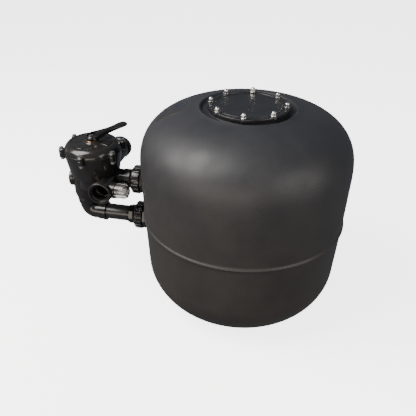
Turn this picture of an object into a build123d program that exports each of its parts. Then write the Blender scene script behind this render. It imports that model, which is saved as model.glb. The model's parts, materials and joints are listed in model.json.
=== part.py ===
from build123d import *
import os
from math import cos, sin, radians

# A sand filter tank with a six-way valve hung on its side. Millimetres, +Z up, origin at the
# centre of the tank's base. The valve stands on the -X side and its front port faces -Y.

os.makedirs("parts", exist_ok=True)

# ---------------------------------------------------------------- driving dimensions

# tank shell, outside
BASE_RADIUS = 134.0
CORNER_HEIGHT = 147.0
CORNER_TOP_RADIUS = 290.0
SEAM_HEIGHT = 299.0
SEAM_RADIUS = 296.6
SEAM_STANDS_OUT = 3.6
SEAM_HALF_WIDTH = 5.0
SHOULDER_HEIGHT = 455.0
SHOULDER_RADIUS = 300.0
DOME_HEIGHT = 176.0
DOME_POWER = 2.82
WALL = 7.0
FLOOR = 12.0

# neck and lid
RIDGE_RADIUS = 133.0
CHANNEL_RADIUS = 124.0
CHANNEL_HEIGHT = 615.5
NECK_RADIUS = 109.0
NECK_OPENING = 86.0
NECK_TOP = 622.5
NECK_BOTTOM = 597.0
LID_RADIUS = 112.5
LID_TOP = 631.0
LID_BOLT_RADIUS = 103.0
LID_BOLT_COUNT = 8
LID_BOSS_RADIUS = 11.5
STUD_RADIUS = 4.0
INSERT_RADIUS = 5.5
INSERT_DEPTH = 17.0

# wall fittings and unions, on axes along X
UPPER_PORT_HEIGHT = 365.0
LOWER_PORT_HEIGHT = 235.0
BOSS_RADIUS = 42.0
BOSS_OUTER_X = -301.0
BOSS_INNER_X = -283.0
FITTING_BORE = 20.0
THREAD_RADIUS = 25.4
UNION_THREAD = 30.0
NUT_RADIUS = 44.0
NUT_RIBS = 18
PIPE_RADIUS = 25.0

# valve
VALVE_X = -464.5
BODY_FLOOR = 377.4
BODY_TOP = 457.5
BODY_TOP_RADIUS = 87.4
BODY_FOOT_RADIUS = 73.9
CORE_FLOOR = 334.0
CORE_RADIUS = 56.0
CHAMBER_RADIUS = 77.0
SEAT_RADIUS = 70.0
SEAT_HEIGHT = 428.0
LUG_RADIUS = 91.0
LUG_SIZE = 9.0
LUG_COUNT = 6
COVER_TOP = 480.0
STEM_RADIUS = 8.95
STEM_HOLE = 9.0
PIN_HEIGHT = 491.3
PIN_RADIUS = 3.95
HANDLE_AZIMUTH = 50.0
HANDLE_LENGTH = 121.0
PORT_RIM = 35.0
PORT_NECK = 30.5
PORT_SOCKET = 25.1
PORT_BORE = 21.0
FRONT_PORT = (-415.0, -104.0, 359.0)
BACK_PORT = (-420.0, 120.0, 414.0)
LEFT_PORT = (-546.0, 0.0, 352.0)
LEFT_RIM = 29.0
GLASS_Y = -68.0
GLASS_HEIGHT = 357.0
GLASS_FACE_X = -374.0
DROP_X = -502.0
DROP_RADIUS = 37.5
DROP_JOINT = 286.0
SPIGOT_RADIUS = 24.5
SPIGOT_BOTTOM = 265.0

UP = (0, 0, 1)
OUTWARD = (-1, 0, 0)


# ---------------------------------------------------------------- shared helpers

def keep(part, name):
    """Labels a finished piece and writes its file."""
    part.label = name
    export_step(part, f"parts/{name}.step")


def turning_plane(origin, direction):
    """A plane whose local x is a radius and whose local y runs along the turning axis."""
    along = Vector(*direction)
    side = Vector(0, 1, 0) if abs(along.Y) < 0.5 else Vector(1, 0, 0)
    return Plane(origin=origin, x_dir=side, z_dir=side.cross(along))


def outline(points, origin, direction):
    """A closed profile of (radius, distance along the axis) points, ready to revolve."""
    with BuildSketch(turning_plane(origin, direction)) as profile:
        with BuildLine():
            Polyline(*points, close=True)
        make_face()
    return profile.sketch


def turned(points, origin, direction):
    """A solid of revolution with straight-sided profile."""
    with BuildPart() as piece:
        revolve(outline(points, origin, direction), axis=Axis(origin, direction))
    return piece.part


def ring_seal(radius, thickness, origin, direction):
    """A round-section ring."""
    with BuildPart() as seal:
        with BuildSketch(turning_plane(origin, direction)):
            with Locations((radius, 0)):
                Circle(thickness / 2)
        revolve(axis=Axis(origin, direction))
    return seal.part


def polar_points(radius, count, first=0.0, centre=(0.0, 0.0)):
    """Evenly spaced points on a circle."""
    turns = [radians(first + 360.0 / count * i) for i in range(count)]
    return [(centre[0] + radius * cos(a), centre[1] + radius * sin(a)) for a in turns]


# ---------------------------------------------------------------- tank shell

def dome_outline(wide, high, last_radius, steps=9):
    """Points of a superellipse that starts at the shoulder and ends at the given radius."""
    power = 2 / DOME_POWER
    sine_at_end = (1 - (last_radius / wide) ** (2 / power)) ** 0.5
    points = []
    for i in range(1, steps + 1):
        sine = sine_at_end * (i / steps) ** 1.6
        radius = wide * (1 - sine * sine) ** (power / 2)
        points.append((radius, SHOULDER_HEIGHT + high * sine ** power))
    return points


outer_dome = dome_outline(SHOULDER_RADIUS, DOME_HEIGHT, RIDGE_RADIUS + 5)
inner_dome = dome_outline(SHOULDER_RADIUS - WALL, DOME_HEIGHT - WALL, RIDGE_RADIUS + 9)
wall_slope = (SHOULDER_RADIUS - SEAM_RADIUS) / (SHOULDER_HEIGHT - SEAM_HEIGHT)
seam_bottom = (SEAM_RADIUS - SEAM_HALF_WIDTH * wall_slope, SEAM_HEIGHT - SEAM_HALF_WIDTH)
seam_top = (SEAM_RADIUS + SEAM_HALF_WIDTH * wall_slope, SEAM_HEIGHT + SEAM_HALF_WIDTH)
ridge_crest = (RIDGE_RADIUS - 2, outer_dome[-1][1] + 1.2)
groove_radius = 94.0
groove_half_width = 2.6
groove_depth = 4.5

with BuildPart() as tank_shell:
    with BuildSketch(Plane.XZ):
        with BuildLine():
            Line((0, 0), (BASE_RADIUS, 0))
            EllipticalCenterArc(
                (BASE_RADIUS, CORNER_HEIGHT),
                CORNER_TOP_RADIUS - BASE_RADIUS,
                CORNER_HEIGHT,
                start_angle=270,
                arc_size=90,
            )
            Line((CORNER_TOP_RADIUS, CORNER_HEIGHT), seam_bottom)
            ThreePointArc(seam_bottom, (SEAM_RADIUS + SEAM_STANDS_OUT, SEAM_HEIGHT), seam_top)
            Line(seam_top, (SHOULDER_RADIUS, SHOULDER_HEIGHT))
            Spline((SHOULDER_RADIUS, SHOULDER_HEIGHT), *outer_dome, tangents=[(0.02, 1), (-1, 0.09)])
            Spline(
                outer_dome[-1],
                ridge_crest,
                (CHANNEL_RADIUS, CHANNEL_HEIGHT),
                tangents=[(-1, 0.4), (-0.6, -1)],
            )
            Polyline(
                (CHANNEL_RADIUS, CHANNEL_HEIGHT),
                (NECK_RADIUS, CHANNEL_HEIGHT),
                (NECK_RADIUS, NECK_TOP),
                (groove_radius + groove_half_width, NECK_TOP),
                (groove_radius + groove_half_width, NECK_TOP - groove_depth),
                (groove_radius - groove_half_width, NECK_TOP - groove_depth),
                (groove_radius - groove_half_width, NECK_TOP),
                (NECK_OPENING, NECK_TOP),
                (NECK_OPENING, NECK_BOTTOM),
                (NECK_RADIUS + 4, NECK_BOTTOM),
                (CHANNEL_RADIUS + 5, CHANNEL_HEIGHT - WALL - 1),
                inner_dome[-1],
            )
            Spline(
                inner_dome[-1],
                *reversed(inner_dome[:-1]),
                (SHOULDER_RADIUS - WALL, SHOULDER_HEIGHT),
                tangents=[(1, -0.09), (-0.02, -1)],
            )
            Polyline(
                (SHOULDER_RADIUS - WALL, SHOULDER_HEIGHT),
                (SEAM_RADIUS - WALL, SEAM_HEIGHT),
                (CORNER_TOP_RADIUS - WALL, CORNER_HEIGHT),
            )
            EllipticalCenterArc(
                (BASE_RADIUS, CORNER_HEIGHT),
                CORNER_TOP_RADIUS - BASE_RADIUS - WALL,
                CORNER_HEIGHT - FLOOR,
                start_angle=270,
                arc_size=90,
            )
            Polyline((BASE_RADIUS, FLOOR), (0, FLOOR), (0, 0))
        make_face()
    revolve(axis=Axis.Z)
    for height in (UPPER_PORT_HEIGHT, LOWER_PORT_HEIGHT):
        wall_face = Plane(origin=(BOSS_INNER_X, 0, height), x_dir=(0, 1, 0), z_dir=OUTWARD)
        with BuildSketch(wall_face):
            Circle(BOSS_RADIUS)
        extrude(amount=BOSS_INNER_X - BOSS_OUTER_X)
        with BuildSketch(wall_face.offset(-12)):
            Circle(THREAD_RADIUS + 0.2)
        extrude(amount=40, mode=Mode.SUBTRACT)
    with BuildSketch(Plane.XY.offset(NECK_TOP)):
        with PolarLocations(LID_BOLT_RADIUS, LID_BOLT_COUNT):
            Circle(INSERT_RADIUS)
    extrude(amount=-INSERT_DEPTH, mode=Mode.SUBTRACT)

keep(tank_shell.part, "tank_shell")

# ---------------------------------------------------------------- lid and its fasteners

RIB_COUNT = 16
lid_points = [
    (0, 622.5),
    (80, 622.5),
    (80, 613),
    (85.5, 613),
    (85.5, 622.5),
    (LID_RADIUS - 1, 622.5),
    (LID_RADIUS, 623.5),
    (LID_RADIUS, LID_TOP - 1.5),
    (LID_RADIUS - 1.5, LID_TOP),
    (110.4, LID_TOP),
    (110.0, LID_TOP - 1.2),
    (108.6, LID_TOP - 1.2),
    (108.2, LID_TOP),
    (98.2, LID_TOP),
    (97.6, LID_TOP - 1.4),
    (95.4, LID_TOP - 1.4),
    (94.8, LID_TOP - 0.4),
    (91.5, LID_TOP - 0.4),
    (89.5, LID_TOP - 2.0),
    (60, LID_TOP - 3.0),
    (30, LID_TOP - 3.6),
    (5, LID_TOP - 3.8),
    (4.2, LID_TOP - 3.0),
    (0, LID_TOP - 3.0),
]

with BuildPart() as tank_lid:
    revolve(outline(lid_points, (0, 0, 0), UP), axis=Axis.Z)
    # bolt bosses, which swell the rim
    with BuildSketch(Plane.XY.offset(NECK_TOP)):
        with PolarLocations(LID_BOLT_RADIUS, LID_BOLT_COUNT):
            Circle(LID_BOSS_RADIUS)
    extrude(amount=LID_TOP + 0.8 - NECK_TOP)
    with BuildSketch(Plane.XY.offset(NECK_TOP - 6)):
        Circle(12)
        with PolarLocations(46, RIB_COUNT):
            Rectangle(70, 3)
    extrude(amount=6.5)
    with BuildSketch(Plane.XY.offset(NECK_TOP - 1)):
        with PolarLocations(LID_BOLT_RADIUS, LID_BOLT_COUNT):
            Circle(STUD_RADIUS + 0.6)
    extrude(amount=20, mode=Mode.SUBTRACT)

keep(tank_lid.part, "tank_lid")
keep(
    ring_seal(groove_radius, 4.4, (0, 0, NECK_TOP - groove_depth + 2.25), UP),
    "lid_o_ring",
)

with BuildPart() as neck_inserts:
    with BuildSketch(Plane.XY.offset(NECK_TOP - INSERT_DEPTH)):
        with PolarLocations(LID_BOLT_RADIUS, LID_BOLT_COUNT):
            Circle(INSERT_RADIUS)
            Circle(STUD_RADIUS, mode=Mode.SUBTRACT)
    extrude(amount=INSERT_DEPTH)
keep(neck_inserts.part, "neck_inserts")

pad_top = LID_TOP + 0.8
washer_top = pad_top + 1.6
stud_top = washer_top + 9.0
with BuildPart() as lid_studs:
    with BuildSketch(Plane.XY.offset(NECK_TOP - INSERT_DEPTH)):
        with PolarLocations(LID_BOLT_RADIUS, LID_BOLT_COUNT):
            Circle(STUD_RADIUS)
    extrude(amount=stud_top - NECK_TOP + INSERT_DEPTH)
keep(lid_studs.part, "lid_studs")

with BuildPart() as lid_washers:
    with BuildSketch(Plane.XY.offset(pad_top)):
        with PolarLocations(LID_BOLT_RADIUS, LID_BOLT_COUNT):
            Circle(8.5)
            Circle(STUD_RADIUS + 0.2, mode=Mode.SUBTRACT)
    extrude(amount=1.6)
keep(lid_washers.part, "lid_washers")

# cap nuts: a hexagon with a domed end over a blind thread
with BuildPart() as lid_nuts:
    with BuildSketch(Plane.XY.offset(washer_top)):
        with PolarLocations(LID_BOLT_RADIUS, LID_BOLT_COUNT):
            RegularPolygon(radius=7.5, side_count=6)
    extrude(amount=6.5)
    with BuildSketch(Plane.XY.offset(washer_top + 6.5)):
        with PolarLocations(LID_BOLT_RADIUS, LID_BOLT_COUNT):
            Circle(6.1)
    extrude(amount=5.2, taper=34)
    with BuildSketch(Plane.XY.offset(washer_top)):
        with PolarLocations(LID_BOLT_RADIUS, LID_BOLT_COUNT):
            Circle(STUD_RADIUS)
    extrude(amount=9.2, mode=Mode.SUBTRACT)
keep(lid_nuts.part, "lid_nuts")

# ---------------------------------------------------------------- wall fittings and unions

FLANGE_FACE = BOSS_OUTER_X - 3
FLANGE_BACK = FLANGE_FACE - 8
UNION_FACE = FLANGE_BACK - 18
TAIL_FACE = UNION_FACE - 0.5
TAIL_BACK = TAIL_FACE - 7
NUT_START = FLANGE_BACK - 3
NUT_LIP = TAIL_BACK - 0.5
NUT_END = NUT_LIP - 7
SEAL_RADIUS = 25.4


def bulkhead(height):
    """A flanged tube through the tank wall, with a union thread outside."""
    centre = (0, 0, height)
    inner_end = -BOSS_INNER_X - 24
    with BuildPart() as fitting:
        with BuildSketch(Plane(origin=(FLANGE_FACE, 0, height), x_dir=(0, 1, 0), z_dir=OUTWARD)):
            RegularPolygon(radius=41, side_count=8)
        extrude(amount=8)
        tube = [
            (FITTING_BORE, inner_end),
            (THREAD_RADIUS, inner_end),
            (THREAD_RADIUS, -FLANGE_FACE + 1),
            (UNION_THREAD, -FLANGE_BACK - 1),
            (UNION_THREAD, -UNION_FACE - 1.5),
            (UNION_THREAD - 1.5, -UNION_FACE),
            (SEAL_RADIUS + 2, -UNION_FACE),
            (SEAL_RADIUS + 2, -UNION_FACE - 3.2),
            (SEAL_RADIUS - 2, -UNION_FACE - 3.2),
            (SEAL_RADIUS - 2, -UNION_FACE),
            (FITTING_BORE, -UNION_FACE),
        ]
        revolve(outline(tube, centre, OUTWARD), axis=Axis(centre, OUTWARD))
        with BuildSketch(Plane(origin=(FLANGE_FACE + 1, 0, height), x_dir=(0, 1, 0), z_dir=OUTWARD)):
            Circle(FITTING_BORE)
        extrude(amount=12, mode=Mode.SUBTRACT)
    return fitting.part


def flat_ring(outer, inner, start, end, height):
    """A flat ring on a port's axis, between two distances out along -X."""
    points = [(inner, start), (outer, start), (outer, end), (inner, end)]
    return turned(points, (0, 0, height), OUTWARD)


def inner_nut(height):
    """The lobed nut that holds a fitting from inside the tank."""
    with BuildPart() as nut:
        with BuildSketch(Plane(origin=(BOSS_INNER_X + 3, 0, height), x_dir=(0, 1, 0), z_dir=(1, 0, 0))):
            RegularPolygon(radius=39, side_count=8)
            Circle(THREAD_RADIUS + 0.05, mode=Mode.SUBTRACT)
        extrude(amount=12)
    return nut.part


def union_nut(height):
    """A ribbed nut that turns on the fitting and pulls the tailpiece's flange to it."""
    centre = (0, 0, height)
    shell = [
        (UNION_THREAD + 0.3, -NUT_START),
        (NUT_RADIUS - 3.5, -NUT_START),
        (NUT_RADIUS - 2.5, -NUT_START + 1),
        (NUT_RADIUS - 2.5, -NUT_START + 22),
        (NUT_RADIUS - 9, -NUT_END - 1),
        (NUT_RADIUS - 10, -NUT_END),
        (PIPE_RADIUS + 0.6, -NUT_END),
        (PIPE_RADIUS + 0.6, -NUT_LIP),
        (UNION_THREAD + 0.3, -NUT_LIP),
    ]
    with BuildPart() as nut:
        revolve(outline(shell, centre, OUTWARD), axis=Axis(centre, OUTWARD))
        with BuildSketch(Plane(origin=(NUT_START - 1.5, 0, height), x_dir=(0, 1, 0), z_dir=OUTWARD)):
            with PolarLocations(NUT_RADIUS - 4.3, NUT_RIBS):
                RectangleRounded(8.6, 5.2, 2.2)
        extrude(amount=22)
    return nut.part


def tail_points(socket_start, socket_end, socket_radius):
    """Profile of a tailpiece: sealing flange, tube and pipe socket."""
    return [
        (FITTING_BORE, -TAIL_FACE),
        (UNION_THREAD - 0.1, -TAIL_FACE),
        (UNION_THREAD - 0.1, -TAIL_BACK),
        (PIPE_RADIUS, -TAIL_BACK),
        (PIPE_RADIUS, socket_start - 2),
        (socket_radius, socket_start),
        (socket_radius, socket_end - 1),
        (socket_radius - 1, socket_end),
        (PIPE_RADIUS + 0.1, socket_end),
        (PIPE_RADIUS + 0.1, socket_start + 3),
        (FITTING_BORE, socket_start + 3),
    ]


UPPER_SOCKET = (349.0, 371.0)
LOWER_SOCKET = (348.0, 366.0)

for name, height in (("upper", UPPER_PORT_HEIGHT), ("lower", LOWER_PORT_HEIGHT)):
    keep(bulkhead(height), f"{name}_bulkhead")
    outer_gasket = flat_ring(39, THREAD_RADIUS + 0.1, -BOSS_OUTER_X, -FLANGE_FACE, height)
    keep(outer_gasket, f"{name}_bulkhead_gasket")
    inner_gasket = flat_ring(37, THREAD_RADIUS + 0.1, -BOSS_INNER_X - 3, -BOSS_INNER_X, height)
    keep(inner_gasket, f"{name}_inner_gasket")
    keep(inner_nut(height), f"{name}_bulkhead_nut")
    keep(union_nut(height), f"{name}_union_nut")
    seal = ring_seal(SEAL_RADIUS, 3.2, (UNION_FACE + 1.5, 0, height), OUTWARD)
    keep(seal, f"{name}_union_o_ring")

upper_tail = tail_points(*UPPER_SOCKET, 29.0)
keep(turned(upper_tail, (0, 0, UPPER_PORT_HEIGHT), OUTWARD), "upper_tailpiece")

with BuildPart() as lower_tailpiece:
    tail_centre = (0, 0, LOWER_PORT_HEIGHT)
    revolve(
        outline(tail_points(*LOWER_SOCKET, 28.0), tail_centre, OUTWARD),
        axis=Axis(tail_centre, OUTWARD),
    )
    with BuildSketch(
        Plane(origin=(-LOWER_SOCKET[0], 0, LOWER_PORT_HEIGHT), x_dir=(0, 1, 0), z_dir=OUTWARD)
    ):
        RegularPolygon(radius=31.0, side_count=8)
        Circle(27.0, mode=Mode.SUBTRACT)
    extrude(amount=12)
keep(lower_tailpiece.part, "lower_tailpiece")

PIPE_END_X = -LOWER_SOCKET[0] - 3.5
ELBOW_MOUTH_X = -440.0
pipe_start = -PIPE_END_X
pipe_end = -ELBOW_MOUTH_X + 19
keep(
    flat_ring(PIPE_RADIUS, PIPE_RADIUS - 4, pipe_start, pipe_end, LOWER_PORT_HEIGHT),
    "lower_pipe",
)

# ---------------------------------------------------------------- inside the tank

RISER_RADIUS = FITTING_BORE - 0.1
RISER_BORE = 17.0
BEND = 50.0
DIFFUSER_HEIGHT = 540.0
HUB_TOP = 128.0
HUB_BOTTOM = 72.0
LATERAL_HEIGHT = 96.0
LATERAL_COUNT = 8


def inner_pipe(height, end_height):
    """A pipe from a wall fitting to the tank's axis, then up or down along it."""
    turn = BEND if end_height > height else -BEND
    start = (BOSS_INNER_X - 2, 0, height)
    with BuildPart() as pipe:
        with BuildLine():
            run = Line(start, (-BEND, 0, height))
            middle = (-BEND + BEND * sin(radians(45)), 0, height + turn * (1 - cos(radians(45))))
            bend = ThreePointArc(run @ 1, middle, (0, 0, height + turn))
            Line(bend @ 1, (0, 0, end_height))
        with BuildSketch(Plane(origin=start, x_dir=(0, 1, 0), z_dir=(1, 0, 0))):
            Circle(RISER_RADIUS)
            Circle(RISER_BORE, mode=Mode.SUBTRACT)
        sweep()
    return pipe.part


keep(inner_pipe(UPPER_PORT_HEIGHT, DIFFUSER_HEIGHT + 10), "inlet_riser")
keep(inner_pipe(LOWER_PORT_HEIGHT, HUB_TOP - 12), "underdrain_pipe")

diffuser_points = [
    (RISER_RADIUS + 0.1, DIFFUSER_HEIGHT),
    (24, DIFFUSER_HEIGHT),
    (24, DIFFUSER_HEIGHT + 14),
    (46, DIFFUSER_HEIGHT + 22),
    (46, DIFFUSER_HEIGHT + 46),
    (40, DIFFUSER_HEIGHT + 50),
    (0, DIFFUSER_HEIGHT + 50),
    (0, DIFFUSER_HEIGHT + 46),
    (39, DIFFUSER_HEIGHT + 46),
    (42.5, DIFFUSER_HEIGHT + 43),
    (42.5, DIFFUSER_HEIGHT + 24.5),
    (21, DIFFUSER_HEIGHT + 17),
    (17, DIFFUSER_HEIGHT + 11),
    (RISER_RADIUS + 0.1, DIFFUSER_HEIGHT + 11),
]
with BuildPart() as top_diffuser:
    revolve(outline(diffuser_points, (0, 0, 0), UP), axis=Axis.Z)
    with BuildSketch(Plane.XY.offset(DIFFUSER_HEIGHT + 27)):
        with PolarLocations(44, 24):
            Rectangle(12, 3)
    extrude(amount=13, mode=Mode.SUBTRACT)
keep(top_diffuser.part, "top_diffuser")

hub_points = [
    (0, HUB_BOTTOM),
    (34, HUB_BOTTOM),
    (38, HUB_BOTTOM + 4),
    (38, HUB_TOP - 4),
    (34, HUB_TOP),
    (RISER_RADIUS + 0.1, HUB_TOP),
    (RISER_RADIUS + 0.1, HUB_TOP - 13),
    (RISER_BORE, HUB_TOP - 13),
    (RISER_BORE, HUB_BOTTOM + 6),
    (0, HUB_BOTTOM + 6),
]
VENT_X = 29.0
with BuildPart() as lateral_hub:
    revolve(outline(hub_points, (0, 0, 0), UP), axis=Axis.Z)
    for place in range(LATERAL_COUNT):
        turn = 360 / LATERAL_COUNT * (place + 0.5)
        out = Vector(1, 0, 0).rotate(Axis.Z, turn)
        mouth = Plane(origin=out * 12 + Vector(0, 0, LATERAL_HEIGHT), z_dir=out)
        with BuildSketch(mouth):
            Circle(9.1)
        extrude(amount=30, mode=Mode.SUBTRACT)
    with BuildSketch(Plane.XY.offset(HUB_TOP)):
        with Locations((VENT_X, 0)):
            Circle(4.05)
    extrude(amount=-10, mode=Mode.SUBTRACT)
keep(lateral_hub.part, "lateral_hub")

# slotted tubes that collect the clean water under the sand
with BuildPart() as laterals:
    for place in range(LATERAL_COUNT):
        turn = 360 / LATERAL_COUNT * (place + 0.5)
        out = Vector(1, 0, 0).rotate(Axis.Z, turn)
        root = out * 26 + Vector(0, 0, LATERAL_HEIGHT)
        rib_points = [(6.5, 0), (9, 0), (9, 12.5)]
        for rib in range(15):
            start = 14 + rib * 10
            rib_points += [(11.5, start), (11.5, start + 7), (10, start + 7), (10, start + 10)]
        rib_points += [(11.5, 168), (9, 172), (0, 172), (0, 169), (6.5, 169)]
        along = (out.X, out.Y, out.Z)
        radial = Plane(origin=root, x_dir=UP, z_dir=Vector(0, 0, 1).cross(out))
        with BuildSketch(radial):
            with BuildLine():
                Polyline(*rib_points, close=True)
            make_face()
        revolve(axis=Axis((root.X, root.Y, root.Z), along))
keep(laterals.part, "laterals")

vent_points = [
    (2.5, HUB_TOP - 9),
    (4, HUB_TOP - 9),
    (4, 505),
    (6.5, 508),
    (6.5, 528),
    (4, 531),
    (0, 531),
    (0, 529),
    (4, 529),
    (4, 511),
    (2.5, 508),
]
keep(turned(vent_points, (VENT_X, 0, 0), UP), "air_relief_tube")

# ---------------------------------------------------------------- valve body

valve_centre = (VALVE_X, 0, 0)
valve_axis = Axis(valve_centre, UP)
lug_angles = [30.0 + 60.0 * i for i in range(LUG_COUNT)]
lid_groove = 80.0


def spoke_plane(angle, height):
    """A level plane at the valve's axis whose x runs along the given azimuth."""
    direction = (cos(radians(angle)), sin(radians(angle)), 0)
    return Plane(origin=(VALVE_X, 0, height), x_dir=direction, z_dir=UP)


# outside of the bowl, with the narrower core under it that ties the ports together
body_points = [
    (0, CORE_FLOOR),
    (CORE_RADIUS - 3, CORE_FLOOR),
    (CORE_RADIUS, CORE_FLOOR + 3),
    (CORE_RADIUS, BODY_FLOOR),
    (BODY_FOOT_RADIUS - 3, BODY_FLOOR),
    (BODY_FOOT_RADIUS, BODY_FLOOR + 3),
    (BODY_TOP_RADIUS, BODY_TOP - 3),
    (BODY_TOP_RADIUS - 1, BODY_TOP),
    (lid_groove + 1.7, BODY_TOP),
    (lid_groove + 1.7, BODY_TOP - 3),
    (lid_groove - 1.7, BODY_TOP - 3),
    (lid_groove - 1.7, BODY_TOP),
    (0, BODY_TOP),
]
chamber_floor = BODY_FLOOR + 6
chamber_points = [
    (0, chamber_floor),
    (SEAT_RADIUS - 2, chamber_floor),
    (SEAT_RADIUS, SEAT_HEIGHT),
    (CHAMBER_RADIUS, SEAT_HEIGHT),
    (CHAMBER_RADIUS, BODY_TOP + 1),
    (0, BODY_TOP + 1),
]
# housing of the bottom way, about its own upright axis
drop_points = [
    (0, DROP_JOINT + 0.3),
    (32.5, DROP_JOINT + 0.3),
    (DROP_RADIUS - 1.5, 298),
    (DROP_RADIUS, 306),
    (DROP_RADIUS, BODY_FLOOR + 3),
    (0, BODY_FLOOR + 3),
]
drop_axis = Axis((DROP_X, 0, 0), UP)


def port_planes(mouth, direction):
    """The plane of a port's mouth, facing into the valve."""
    inward = Vector(*direction) * -1
    return Plane(origin=mouth, x_dir=UP, z_dir=inward)


front_mouth = port_planes(FRONT_PORT, (0, -1, 0))
back_mouth = port_planes(BACK_PORT, (0, 1, 0))
left_mouth = port_planes(LEFT_PORT, (-1, 0, 0))
STUB_X = -372.0
STUB_LENGTH = 46.0
# upright ways from the ports into the chamber: radius and place
risers = [
    (12.0, (-431.7, -39.1)),
    (15.0, (-424.0, 0.0)),
    (9.0, (-514.0, 29.0)),
]

with BuildPart() as valve_body:
    revolve(outline(body_points, valve_centre, UP), axis=valve_axis)
    revolve(outline(drop_points, (DROP_X, 0, 0), UP), axis=drop_axis)
    # boss for the sight glass, on the front port's neck
    with BuildSketch(Plane(origin=(-405, GLASS_Y, GLASS_HEIGHT), x_dir=(0, 1, 0), z_dir=(1, 0, 0))):
        Circle(24.5)
    extrude(amount=GLASS_FACE_X + 405)
    for mouth, rim, rim_depth, neck_depth in (
        (front_mouth, PORT_RIM, 17, 90),
        (back_mouth, PORT_RIM, 17, 84),
        (left_mouth, LEFT_RIM, 12, 36),
    ):
        with BuildSketch(mouth.offset(1.2)):
            Circle(rim)
        extrude(amount=rim_depth - 1.2)
        with BuildSketch(mouth):
            Circle(rim - 1.2)
        extrude(amount=2)
        with BuildSketch(mouth.offset(rim_depth)):
            Circle(rim)
        extrude(amount=5, taper=42)
        with BuildSketch(mouth):
            Circle(min(rim - 1.2, PORT_NECK))
        extrude(amount=neck_depth)
    # wall round the left port's upright way, behind the bottom way's housing
    with BuildSketch(Plane.XY.offset(336)):
        with Locations(risers[2][1]):
            Circle(risers[2][0] + 5)
    extrude(amount=BODY_FLOOR + 3 - 336)
    for angle in lug_angles:
        with BuildSketch(spoke_plane(angle, BODY_TOP - 14.5)):
            with Locations((LUG_RADIUS, 0)):
                Circle(LUG_SIZE)
            with Locations((LUG_RADIUS - 3.5, 0)):
                Rectangle(7, 2 * LUG_SIZE)
        extrude(amount=14.5)
    # stub towards the tank, with its spigot
    stub_plane = Plane(origin=(STUB_X, 0, UPPER_PORT_HEIGHT), x_dir=(0, 1, 0), z_dir=(1, 0, 0))
    with BuildSketch(stub_plane):
        Circle(27)
    extrude(amount=-STUB_LENGTH)
    with BuildSketch(stub_plane):
        Circle(PIPE_RADIUS)
    extrude(amount=19)
    # spigot under the bottom way's housing, for the elbow
    with BuildSketch(Plane.XY.offset(SPIGOT_BOTTOM)):
        with Locations((DROP_X, 0)):
            Circle(SPIGOT_RADIUS)
    extrude(amount=DROP_JOINT + 2 - SPIGOT_BOTTOM)
    revolve(outline(chamber_points, valve_centre, UP), axis=valve_axis, mode=Mode.SUBTRACT)
    # dividing walls under the seat
    with BuildSketch(Plane.XY.offset(chamber_floor - 1)):
        with Locations((VALVE_X, 0)):
            Circle(14)
            with PolarLocations(39, LUG_COUNT, start_angle=30):
                Rectangle(66, 5)
    extrude(amount=SEAT_HEIGHT - chamber_floor + 1)
    # ways through the ports
    for mouth, way in ((front_mouth, 80), (back_mouth, 86)):
        with BuildSketch(mouth.offset(-1)):
            Circle(PORT_RIM - 6)
        extrude(amount=9, mode=Mode.SUBTRACT)
        with BuildSketch(mouth):
            Circle(PORT_SOCKET)
        extrude(amount=34, mode=Mode.SUBTRACT)
        with BuildSketch(mouth):
            Circle(PORT_BORE)
        extrude(amount=way, mode=Mode.SUBTRACT)
    with BuildSketch(left_mouth):
        Circle(PORT_SOCKET)
    extrude(amount=19, mode=Mode.SUBTRACT)
    # the left port's water passes beside the bottom way
    with BuildSketch(left_mouth.offset(16)):
        with Locations((0, -risers[2][1][1])):
            Circle(risers[2][0])
    extrude(amount=16, mode=Mode.SUBTRACT)
    with BuildSketch(stub_plane.offset(20)):
        Circle(FITTING_BORE)
    extrude(amount=-80, mode=Mode.SUBTRACT)
    for radius, place in risers:
        with BuildSketch(Plane.XY.offset(LEFT_PORT[2])):
            with Locations(place):
                Circle(radius)
        extrude(amount=chamber_floor + 1 - LEFT_PORT[2], mode=Mode.SUBTRACT)
    glass_face = Plane(
        origin=(GLASS_FACE_X, GLASS_Y, GLASS_HEIGHT), x_dir=(0, 1, 0), z_dir=OUTWARD
    )
    with BuildSketch(glass_face):
        Circle(14)
    extrude(amount=30, mode=Mode.SUBTRACT)
    with BuildSketch(glass_face):
        Circle(18)
    extrude(amount=8.5, mode=Mode.SUBTRACT)
    with BuildSketch(glass_face):
        Circle(21.2)
        Circle(19.2, mode=Mode.SUBTRACT)
    extrude(amount=2, mode=Mode.SUBTRACT)
    with BuildSketch(Plane.XY.offset(SPIGOT_BOTTOM - 1)):
        with Locations((DROP_X, 0)):
            Circle(FITTING_BORE)
    extrude(amount=chamber_floor + 2 - SPIGOT_BOTTOM, mode=Mode.SUBTRACT)
    with BuildSketch(Plane.XY.offset(BODY_TOP - 20)):
        with Locations(*polar_points(LUG_RADIUS, LUG_COUNT, 30, (VALVE_X, 0))):
            Circle(4.2)
    extrude(amount=30, mode=Mode.SUBTRACT)
    # pockets that clear the nuts under the lugs
    with BuildSketch(Plane.XY.offset(BODY_TOP - 14.5)):
        with Locations(*polar_points(LUG_RADIUS, LUG_COUNT, 30, (VALVE_X, 0))):
            Circle(8.9)
    extrude(amount=-10, mode=Mode.SUBTRACT)

keep(valve_body.part, "valve_body")

# ---------------------------------------------------------------- bottom elbow

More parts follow.
